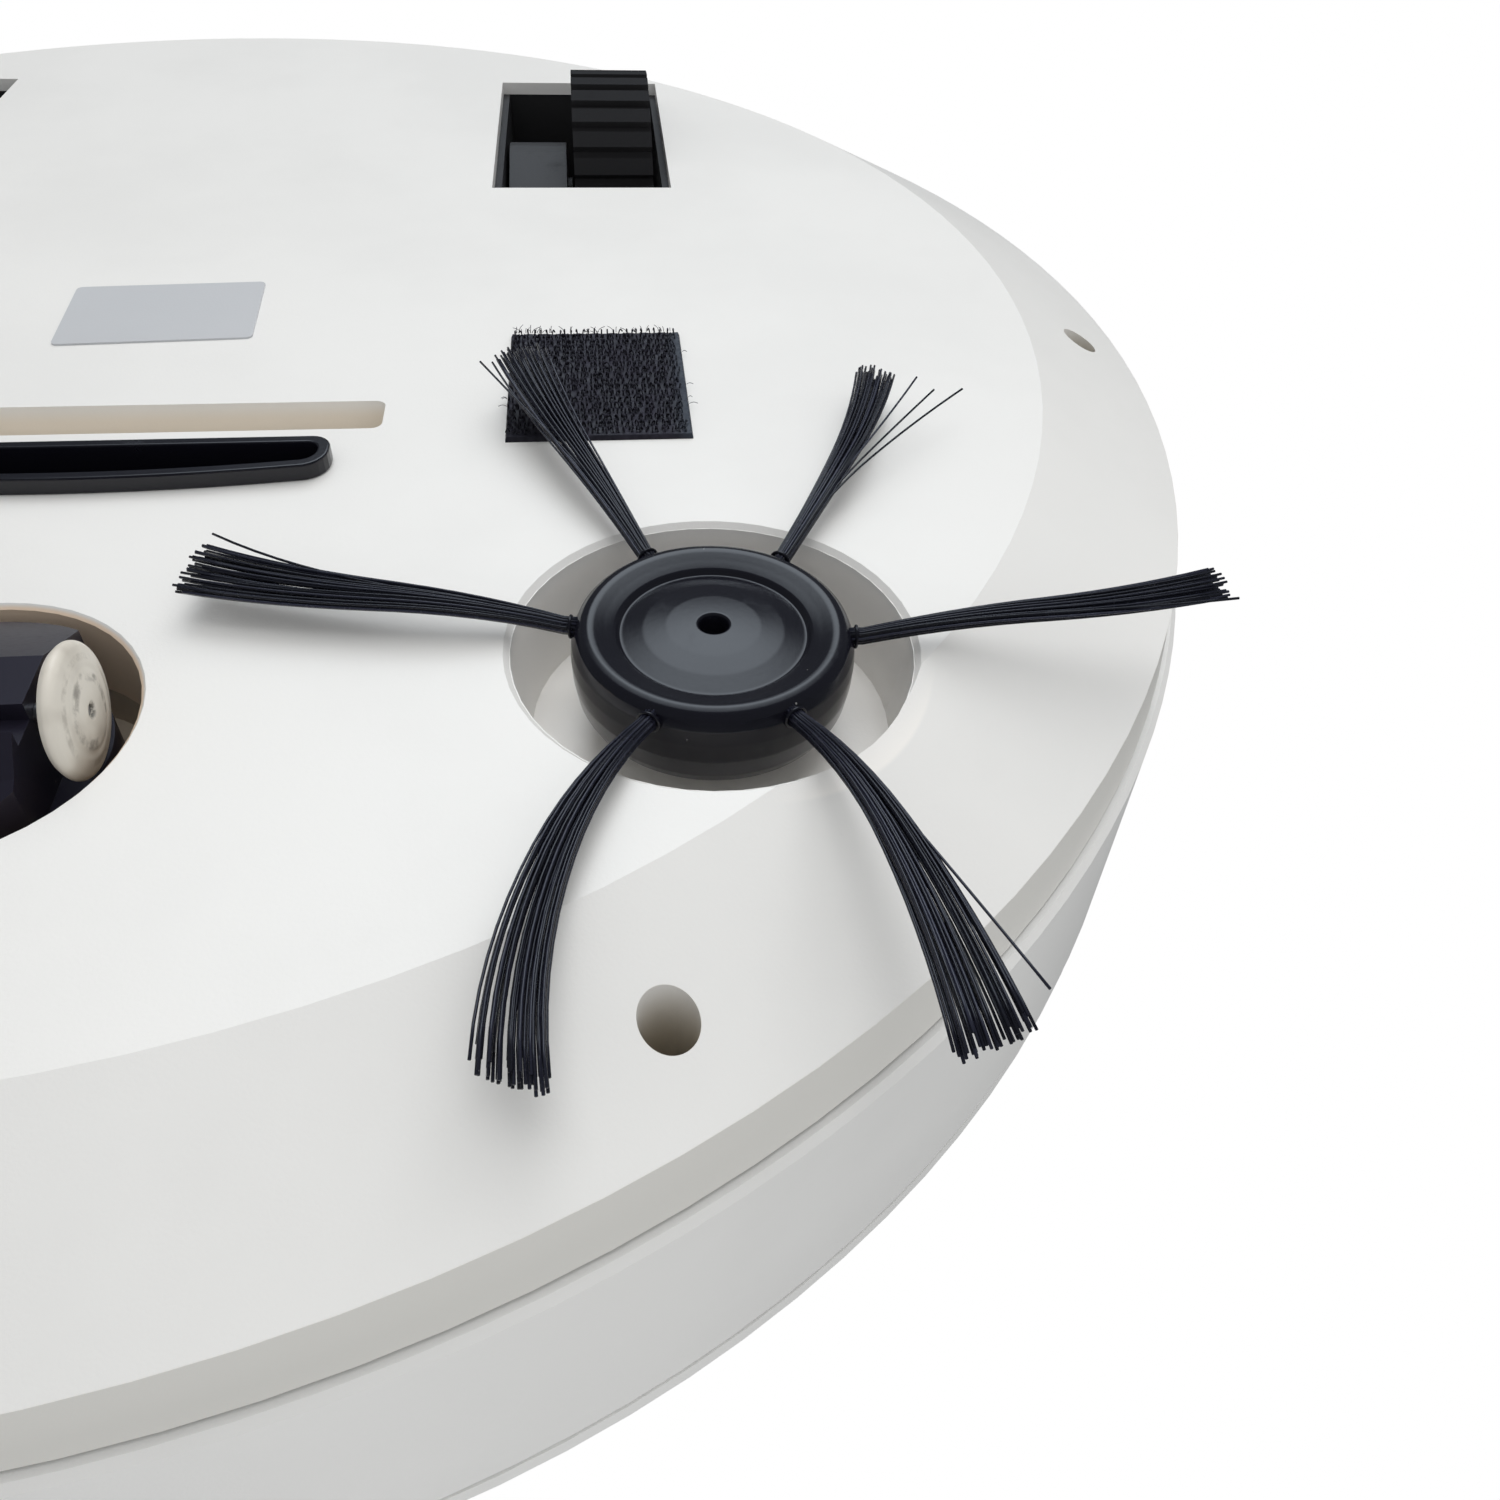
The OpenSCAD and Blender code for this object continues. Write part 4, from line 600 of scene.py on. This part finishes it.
# %% [markdown]
# Hook tape
#
# Two patches of hook tape hold a mop cloth. Hook tape is a woven band with rows of cut
# loops of thick nylon, each one a small hook. One wave gives the weave's colour, two
# crossed waves its bump, and the outer side of each band is a little paler.

# %% Finish of the hook tape
tape = Finish("hook_tape", (30, 29, 37), 0.62, Specular_IOR_Level=0.35)
warp = tape.add("ShaderNodeTexWave", {"wave_type": "BANDS", "bands_direction": "X"},
                Vector=tape.place, Scale=230.0, Distortion=0.6, Detail=1.0)
weft = tape.add("ShaderNodeTexWave", {"wave_type": "BANDS", "bands_direction": "Y"},
                Vector=tape.place, Scale=310.0, Distortion=0.4, Detail=1.0)
worn = tape.step(tape.noise(260, 4, 0.6), 0.42, 0.72)
edge = tape.step(abs(tape.axes()[0]), 0.0825, 0.0856)
tone = tape.mix(worn * 0.6 + warp * 0.3, linear((28, 27, 37)), linear((47, 45, 57)))
tape.paint(tape.mix(edge * 0.7, tone, linear((58, 66, 76))), worn * 0.2 + 0.5, warp * weft, 0.00006)
print("hook tape ready")

# %% [markdown]
# The woven band
#
# The band is a thin slab. Each row of points is one closed loop, along the face and home
# along the back, and at the rim the face runs down to the back, so the slab needs no
# separate sides.

# %% Shape of the woven band
BAND_T = 0.0007
WARP_PITCH, WEFT_PITCH = 0.00042, 0.00036
WEAVE_H = 0.00007
RIM_W = 0.0003


def woven_slab(low, high, across=110, along=128):
    """A closed thin slab: its face is a weave, sin(x) * sin(y), and runs down to its back at the rim."""
    x = np.linspace(low.x, high.x, across)
    y = np.linspace(low.y, high.y, along)[:, None]
    ends = np.minimum(1, np.minimum(x - low.x, high.x - x) / RIM_W + 0.25)
    sides = np.minimum(1, np.minimum(y - low.y, high.y - y) / RIM_W)
    weave = np.sin(x / WARP_PITCH) * np.sin(y / WEFT_PITCH) * WEAVE_H
    face = high.z - (BAND_T + weave) * np.clip(ends * sides, 0, 1)
    back = np.full_like(face, high.z)
    xs = np.concatenate([x, x[::-1]])[None, :] + 0 * y
    zs = np.concatenate([face, back[:, ::-1]], axis=1)
    return np.stack([xs, y + 0 * xs, zs], -1)


print("band", BAND_T / MM, "mm thick")

# %% [markdown]
# The hooks and the cut edge
#
# Each hook is a short tube along a curve that stands up and bends over. Every second row
# stands half a pitch aside and bends the other way. The rear edge was cut with scissors, so
# some ends stand out there, and a few hairs stand out at the sides.

# %% Lines of the hooks and of the loose ends
HOOK_H = 0.0008
HOOK_R = 0.00028
HOOK_PITCH = 0.00096
ROW_PITCH = HOOK_PITCH * 0.93
LOOSE_ENDS, SIDE_HAIRS = 46, 8


def hook_lines(random, low, high, top):
    """Centre lines of the hooks: up from the band, then over in a half circle along y.

    The angle runs from 0 at the foot to its end past the top, height is the sine's share,
    and every second row stands half a pitch aside and bends the other way.
    """
    xs = np.arange(low.x + 0.0011, high.x - 0.0009, HOOK_PITCH)
    ys = np.arange(low.y + 0.0009, high.y - 0.0006, ROW_PITCH)
    gx, gy = (g.ravel() for g in np.meshgrid(xs, ys))
    row = np.round((gy - ys[0]) / ROW_PITCH).astype(int)
    way = np.where(row % 2 == 0, 1.0, -1.0)
    gx = gx + (row % 2) * HOOK_PITCH * 0.5 + random.normal(0, 0.00012, len(gx))
    gy = gy + random.normal(0, 0.0001, len(gy))
    bent = random.uniform(0.85, 1.15, len(gx))
    a = np.array([0.0, 0.35, 0.8, 1.4, 2.0, 2.6, 3.3])[None, :]
    y = gy[:, None] + way[:, None] * (HOOK_R * bent[:, None]) * (1 - np.cos(a))
    rise = np.where(a < 1.5, np.sin(np.minimum(a, 1.5708)), 1 - 0.55 * (1 - np.cos(a - 1.5)))
    z = top - HOOK_H * (0.9 + 0.6 * (bent[:, None] - 1)) * rise
    x = gx[:, None] + random.normal(0, 0.00009, len(gx))[:, None] * a
    return np.stack([x + 0 * z, y, z], -1)


def cut_ends(random, low, high, top):
    """Loose ends at the cut rear edge and a few hairs at the sides: short leaning lines.

    Along a line t goes from 0 to 1. An end runs out by its length * t, aside by its lean *
    t**2 and away from the band by its rise * t**0.7. A hair sways along y by sin(3 * t).
    """
    t = np.linspace(0, 1, 7)[None, :]
    start = random.uniform(low.x + 0.0005, high.x - 0.0005, LOOSE_ENDS)[:, None]
    lean = random.normal(0, 0.0005, LOOSE_ENDS)[:, None]
    out = random.uniform(0.0003, 0.00125, LOOSE_ENDS)[:, None]
    rise = random.uniform(0.0, 0.0009, LOOSE_ENDS)[:, None]
    z = top - 0.0001 - rise * t ** 0.7
    rear = np.stack([start + lean * t ** 2, high.y - 0.0002 + out * t, z], -1)
    even = np.arange(SIDE_HAIRS) % 2 == 0
    edge = np.where(even, low.x, high.x)[:, None]
    way = np.where(even, -1.0, 1.0)[:, None]
    x = edge + way * random.uniform(0.0004, 0.0013, SIDE_HAIRS)[:, None] * t
    y = random.uniform(low.y, high.y, SIDE_HAIRS)[:, None] + 0.0004 * np.sin(t * 3)
    hair = np.stack([x, y, 0 * x + top - 0.0002], -1)
    return np.concatenate([rear, hair])


print("hooks", HOOK_H / MM, "mm high")

# %% Make the hook tape
HOOK_WIRE_R, FLUFF_WIRE_R = 0.00012, 0.00005
WIRE_SIDES = 4
HOOK_FOOT = 0.00065
for side in SIDES:
    random = np.random.default_rng(5)
    low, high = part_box(side + "_hook_patch")
    slab = woven_slab(low, high)
    band = add_piece(side + "_tape_band", slab, grid_faces(*slab.shape[:2], True), tape.material,
                     "chassis", flip=True)
    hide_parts(side + "_hook_patch")
    top = high.z - HOOK_FOOT
    points, quads = many(tubes(hook_lines(random, low, high, top), HOOK_WIRE_R, WIRE_SIDES))
    add_piece(side + "_tape_hooks", points, quads, tape.material, "chassis")
    points, quads = many(tubes(cut_ends(random, low, high, top), FLUFF_WIRE_R, WIRE_SIDES))
    add_piece(side + "_tape_fluff", points, quads, tape.material, "chassis")

# %% [markdown]
# Painted light and shade on the white shell
#
# The white shell is one plastic, and its colour carries painted light and shade. The deep parts of the
# brush recesses are painted a little lighter, to lift the shade in them. The lip of the caster pocket,
# the groove and the screw holes are painted warmer and darker, for the shade and the bounced light in
# them, and the rim beside the band is painted a little greyer, for its shade. We could paint a picture
# for this, but masks worked out from the place need no picture. A round pocket's mask is the distance
# from the axis of what stands in it. The screw holes repeat every sixty degrees, so the azimuth is
# folded into one step first.

# %% Painted light and shade for the white shell
RECESS_R, POCKET_R, SCREW_HOLE_R = 0.0262, 0.0215, 0.00308
GROOVE_Y, GROOVE_HALF_W, GROOVE_HALF_L = -0.035, 0.0042, 0.042
SLOPE_TOP_Z = UNDERSIDE_Z + 0.0115
EDGE_TOP_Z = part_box("rear_band")[0].z
EDGE_R = BODY_RADIUS - 0.0026
SHARP = 0.0001
SKIN = 0.00003
SCREW_STEP = TAU / 6


def painted_pocket_light_and_shade(finish, shade):
    """Paints light and shade into the colour inside the pockets, the groove and the screw holes, and on
    the edge.

    A round pocket's mask is 1 within a radius of its axis. All masks lie deeper than the
    underside and below the middle of the band, so that the top cover, which shares the
    plastic, stays clear.
    """
    x, y, z = finish.axes()
    halfway = middle("rear_band")[2]
    under = 1 - finish.step(z, halfway - 0.001, halfway)
    deep = finish.step(z, UNDERSIDE_Z + SKIN, UNDERSIDE_Z + 0.003) * under

    def within(centre, radius):
        """1 where the distance from an upright axis is below the radius, else 0."""
        distance = ((x - centre[0]) ** 2 + (y - centre[1]) ** 2) ** 0.5
        return 1 - finish.step(distance, radius, radius + 0.0006)

    recess = within(BRUSH_CENTRE["right"], RECESS_R) + within(BRUSH_CENTRE["left"], RECESS_R)
    caster = within(CASTER_CENTRE, POCKET_R)
    groove = ((1 - finish.step(abs(y - GROOVE_Y), GROOVE_HALF_W, GROOVE_HALF_W + 0.0004))
              * (1 - finish.step(abs(x), GROOVE_HALF_L, GROOVE_HALF_L + 0.0005)))
    ring = (x ** 2 + y ** 2) ** 0.5
    turn = x.math("ARCTAN2", y, x)
    folded = x.math("FLOORED_MODULO", turn + (SCREW_STEP / 2 - SCREW_TURN), SCREW_STEP)
    aside = abs(folded - SCREW_STEP / 2) * SCREW_RADIUS
    off_axis = ((ring - SCREW_RADIUS) ** 2 + aside ** 2) ** 0.5
    hole = 1 - finish.step(off_axis, SCREW_HOLE_R, SCREW_HOLE_R + SHARP)
    hole = hole * finish.step(z, UNDERSIDE_Z + 0.001, UNDERSIDE_Z + 0.016) * under
    lip = finish.step(z, UNDERSIDE_Z + SKIN, UNDERSIDE_Z + 0.0005) * under
    edge = (finish.step(z, SLOPE_TOP_Z - SHARP, SLOPE_TOP_Z + SHARP) * under
            * (1 - finish.step(z, EDGE_TOP_Z, EDGE_TOP_Z + SHARP))
            * finish.step(ring, EDGE_R - SHARP, EDGE_R))
    # Painted shade: the rim between the slope and the band is painted greyer.
    shade = finish.mix(edge, shade, linear((229, 228, 223)))
    # Painted light: the deep parts of the brush recesses are painted lighter than the shell, to lift the
    # shade in them.
    shade = finish.mix(deep * recess, shade, linear((252, 250, 246)))
    # Painted shade: the lip of the caster pocket is painted warm and darker, for the shade and bounced
    # light in the pocket.
    shade = finish.mix(lip * caster, shade, linear((244, 222, 198)))
    # Painted shade: the groove is painted warmer and darker.
    shade = finish.mix(deep * groove, shade, linear((234, 227, 216)))
    # Painted shade: the screw holes are painted a darker beige.
    return finish.mix(hole, shade, linear((205, 196, 180)))


print("edge of the slope at", round(SLOPE_TOP_Z / MM, 1), "to", round(EDGE_TOP_Z / MM, 1), "mm")

# %% [markdown]
# Dirt on the rollers
#
# A roller of the caster picks up dirt in rings round its hub, and the small pit at its axle is darker in
# patches. A ring is a band of radii, and noise breaks it into smudges.

# %% A tint for the rollers
def roller_dirt(finish, shade):
    """Grey rings and smudges about the roller's axle, each a band of radii cut up by noise."""
    x, y, z = finish.axes(ROLLER_AXLE)
    radius = (y ** 2 + z ** 2) ** 0.5
    patchy = finish.step(finish.noise(330, 4, 0.65), 0.42, 0.62)
    cloudy = finish.step(finish.noise(120, 3), 0.45, 0.7)

    def ring(at, width):
        """1 where the radius is close to the given one, and 0 from a width away."""
        return 1 - finish.step(abs(radius - at), width * 0.4, width)

    shade = finish.mix(cloudy * 0.55, shade, linear((178, 170, 158)))
    shade = finish.mix(ring(0.0037, 0.0008) * patchy * 0.75, shade, linear((112, 106, 98)))
    shade = finish.mix(ring(0.0058, 0.0005) * patchy * 0.4, shade, linear((140, 132, 120)))
    # The pit at the axle is made darker in patches.
    pit = (1 - finish.step(radius, 0.0006, 0.0012)) * finish.step(finish.noise(1500, 3), 0.4, 0.55)
    return finish.mix(pit * 0.85, shade, linear((52, 50, 46)))


print("roller axle at", [round(float(c) / MM, 1) for c in ROLLER_AXLE])

# %% [markdown]
# Finishes for the solids
#
# The remaining solids keep their shape. Each gets the finish of its own material. Metals
# have a finer and shallower grain than most plastics, and the two dull blacks, the plastic
# and the rubber, mirror less of the room.

# %% Make the finishes
METAL = {"grain": 3000, "depth": 0.00001, "Metallic": 1.0}
milky = moulded("milky_plastic", (226, 221, 210), 0.4, tint=roller_dirt)
OTHERS = (
    moulded("white_shell", (241, 241, 239), 0.38, tint=painted_pocket_light_and_shade),
    moulded("white_band", (240, 240, 238), 0.36),
    moulded("dark_plastic", (46, 46, 48), 0.5, Specular_IOR_Level=0.25),
    moulded("beige_plastic", (200, 188, 172), 0.5),
    moulded("ivory_plastic", (238, 236, 226), 0.4),
    moulded("grey_plastic", (150, 151, 153), 0.45),
    moulded("smoked_plastic", (70, 74, 80), 0.25),
    moulded("button_plastic", (222, 223, 225), 0.35),
    moulded("label_film", (200, 203, 207), 0.3),
    moulded("wheel_rubber", (34, 34, 36), 0.75, Specular_IOR_Level=0.2),
    moulded("board_green", (26, 92, 50), 0.35),
    moulded("cell_wrap", (40, 92, 160), 0.3),
    moulded("steel", (190, 190, 194), 0.3, drift=0.06, **METAL),
    moulded("aluminium", (200, 202, 206), 0.35, drift=0.06, **METAL),
    moulded("brass", (214, 178, 96), 0.3, drift=0.08, **METAL))
FINISHES = {finish.slot: finish for finish in (black, milky, *OTHERS)}
FINISHES.update(bristle=nylon, hook_fabric=tape)
print(len(FINISHES), "finishes")

# %% Hand the finishes out
for row in frame["record"]["subparts"]:
    solid = frame["nodes"][row["node"]]
    if not solid.material_slots:
        solid.data.materials.append(None)
    for holder in solid.material_slots:
        holder.material = FINISHES[row["material_slot"]].material

# %% [markdown]
# Soft edges
#
# No moulded edge is sharp. On the caster and on the mouth's rim the light catches each
# edge as a thin line. A copy of the solid has its doubled points merged, so that
# neighbouring faces share them, and a Bevel modifier then rounds each edge.

# %% Round the edges of a few black mouldings
def softened(node, name, body, width, finish):
    """A merged copy of a solid with its edges over 30 degrees rounded to the given width."""
    mesh = frame["nodes"][node].data.copy()
    work = bmesh.new()
    work.from_mesh(mesh)
    work.transform(frame["nodes"][node].matrix_world)
    bmesh.ops.remove_doubles(work, verts=work.verts, dist=0.000002)
    work.to_mesh(mesh)
    work.free()
    mesh.materials.clear()
    mesh.materials.append(finish.material)
    piece = bpy.data.objects.new(name, mesh)
    bpy.context.scene.collection.objects.link(piece)
    bevel = piece.modifiers.new("round", "BEVEL")
    bevel.width = width
    bevel.segments = 3
    bevel.limit_method = "ANGLE"
    bevel.angle_limit = math.radians(30)
    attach(piece, body)
    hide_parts(node)
    print(name, len(mesh.vertices), "points")


softened("caster_turret", "turret_softened", "caster", 0.00035, caster_black)
softened("mouth_rim", "mouth_rim_softened", "chassis", 0.0003, black)

# %% [markdown]
# Rollers of the caster
#
# A roller is a small disc with a narrow tread, a sloping outer face and a low hub with a
# small pit in it. It is turned like the brush hubs, about an axis that lies along x.

# %% Turn the rollers of the caster
ROLLER_R_MM, ROLLER_W_MM = 7.5, 2.8
# From the axle over the inner face, the tread and the outer face: radius and distance from
# the inner face in mm
ROLLER_OUTLINE = [
    (0.9, 0.5), (1.3, 0.0), (6.7, 0.0), (ROLLER_R_MM, 0.9), (ROLLER_R_MM, 1.5), (7.05, 2.0),
    (5.2, 2.45), (4.6, 2.42), (4.1, 2.6), (2.3, 2.78), (1.0, ROLLER_W_MM), (0.75, 2.6),
    (0.6, 1.9), (0.02, 1.85)]
for side, sign in SIDES.items():
    low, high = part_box(side + "_roller")
    outer = low.x if sign < 0 else high.x
    scale = (high.z - low.z) / (2 * ROLLER_R_MM)
    profile = [(r * scale, outer - sign * (ROLLER_W_MM - h) * scale) for r, h in ROLLER_OUTLINE]
    face = turned(rounded(profile, 0.0003), (0, ROLLER_AXLE[1], ROLLER_AXLE[2]), "x", 140)
    roller = add_piece(side + "_roller_turned", face, grid_faces(*face.shape[:2], True), milky.material,
                       side + "_caster_roller", flip=sign < 0)
    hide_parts(side + "_roller")

# %% [markdown]
# Floor
#
# The floor is a pale sheet that only a camera above it sees: for a camera below, and for
# all light rays, it isn't there, so that the underside is lit. A Mix Shader does this. It
# gives the floor's own shader to camera rays that meet its front, and lets all others through.

# %% Make the floor
FLOOR_HALF, FLOOR_Z = 12.0, -0.0003
floor_finish = Finish("floor_white", (244, 244, 244), 0.9)
path = floor_finish.add("ShaderNodeLightPath", None, out="Is Camera Ray")
front = 1 - floor_finish.add("ShaderNodeNewGeometry", None, out="Backfacing")
clear = floor_finish.tree.nodes.new("ShaderNodeBsdfTransparent")
choice = floor_finish.tree.nodes.new("ShaderNodeMixShader")
floor_finish.put(choice.inputs[0], path * front)
floor_finish.tree.links.new(clear.outputs[0], choice.inputs[1])
floor_finish.tree.links.new(floor_finish.shader.outputs[0], choice.inputs[2])
floor_finish.tree.links.new(choice.outputs[0], floor_finish.output.inputs[0])
corners = [(x * FLOOR_HALF, y * FLOOR_HALF, FLOOR_Z) for x, y in ((-1, -1), (1, -1), (1, 1), (-1, 1))]
floor_mesh = bpy.data.meshes.new("floor")
floor_mesh.from_pydata(corners, [], [(0, 1, 2, 3)])
floor_mesh.materials.append(floor_finish.material)
floor = bpy.data.objects.new("floor", floor_mesh)
bpy.context.scene.collection.objects.link(floor)
print("floor at", FLOOR_Z / MM, "mm")

# %% [markdown]
# World
#
# Camera and transmission rays see plain white. Diffuse rays get a soft light that grows
# towards the front. Glossy rays get a dim room with one window, so that the black
# mouldings show a soft sheen where they mirror it and stay dark elsewhere.

# %% Make the world
WINDOW = Vector((-0.05, 0.56, -0.82)).normalized()
FRONT = Vector((-0.5, -0.85, 0.25)).normalized()
WHITE, WINDOW_BLUE = (1, 1, 1, 1), (0.82, 0.91, 1, 1)
world = bpy.data.worlds.new("studio")
bpy.context.scene.world = world
world.use_nodes = True
nodes, links = world.node_tree.nodes, world.node_tree.links
nodes.clear()


def world_node(kind, settings=None, *values):
    """Adds a node to the world: its settings, then its sockets, numbers or other sockets."""
    node = nodes.new(kind)
    for key, value in (settings or {}).items():
        setattr(node, key, value)
    for socket, value in zip(node.inputs, values):
        if isinstance(value, bpy.types.NodeSocket):
            links.new(value, socket)
        else:
            socket.default_value = value
    return node


def brighter_towards(direction, low, high, dim, bright, kind="LINEAR"):
    """Light that grows from dim to bright as the ray's cosine with a direction goes low to high."""
    cosine = world_node("ShaderNodeVectorMath", {"operation": "DOT_PRODUCT"},
                        way, tuple(direction)).outputs["Value"]
    return world_node("ShaderNodeMapRange", {"interpolation_type": kind},
                      cosine, low, high, dim, bright).outputs[0]


rays = world_node("ShaderNodeLightPath").outputs
way = world_node("ShaderNodeTexCoord").outputs["Generated"]
straight = world_node("ShaderNodeMath", {"operation": "MAXIMUM"},
                      rays["Is Camera Ray"], rays["Is Transmission Ray"]).outputs[0]
soft = world_node("ShaderNodeBackground", None, WHITE,
                  brighter_towards(FRONT, 0.0, 1.0, 0.44, 0.8)).outputs[0]
window = world_node("ShaderNodeBackground", None, WINDOW_BLUE,
                    brighter_towards(WINDOW, 0.86, 1.0, 0.13, 3.4, "SMOOTHSTEP")).outputs[0]
plain = world_node("ShaderNodeBackground", None, WHITE, 1.0).outputs[0]
glossy = world_node("ShaderNodeMixShader", None, rays["Is Glossy Ray"], soft, window).outputs[0]
seen = world_node("ShaderNodeMixShader", None, straight, glossy, plain).outputs[0]
world_node("ShaderNodeOutputWorld", None, seen)
print("world of", len(nodes), "nodes ready")

# %% [markdown]
# Lamps
#
# Three broad suns give the soft shadows. Two shine up at the underside: one slantwise, which
# draws the shadows of the tufts, and one straight, which fills them. The third lights the top.
# Reflections don't show the suns, since the window does that part.

# %% Make the lamps
def add_sun(name, direction, strength, softness):
    """A sun that shines along a direction; its angle in degrees blurs the shadows."""
    data = bpy.data.lights.new(name, "SUN")
    data.energy = strength
    data.angle = math.radians(softness)
    lamp = bpy.data.objects.new(name, data)
    lamp.rotation_mode = "QUATERNION"
    lamp.rotation_quaternion = Vector(direction).to_track_quat("-Z", "Y")
    lamp.visible_glossy = False
    bpy.context.scene.collection.objects.link(lamp)
    print(name, "strength", strength)


add_sun("key_below", (0.3, -0.75, 1.0), 1.12, 50)
add_sun("fill_below", (0.0, 0.0, 1.0), 0.61, 34)
add_sun("key_above", (-0.12, 0.2, -1.0), 1.9, 24)
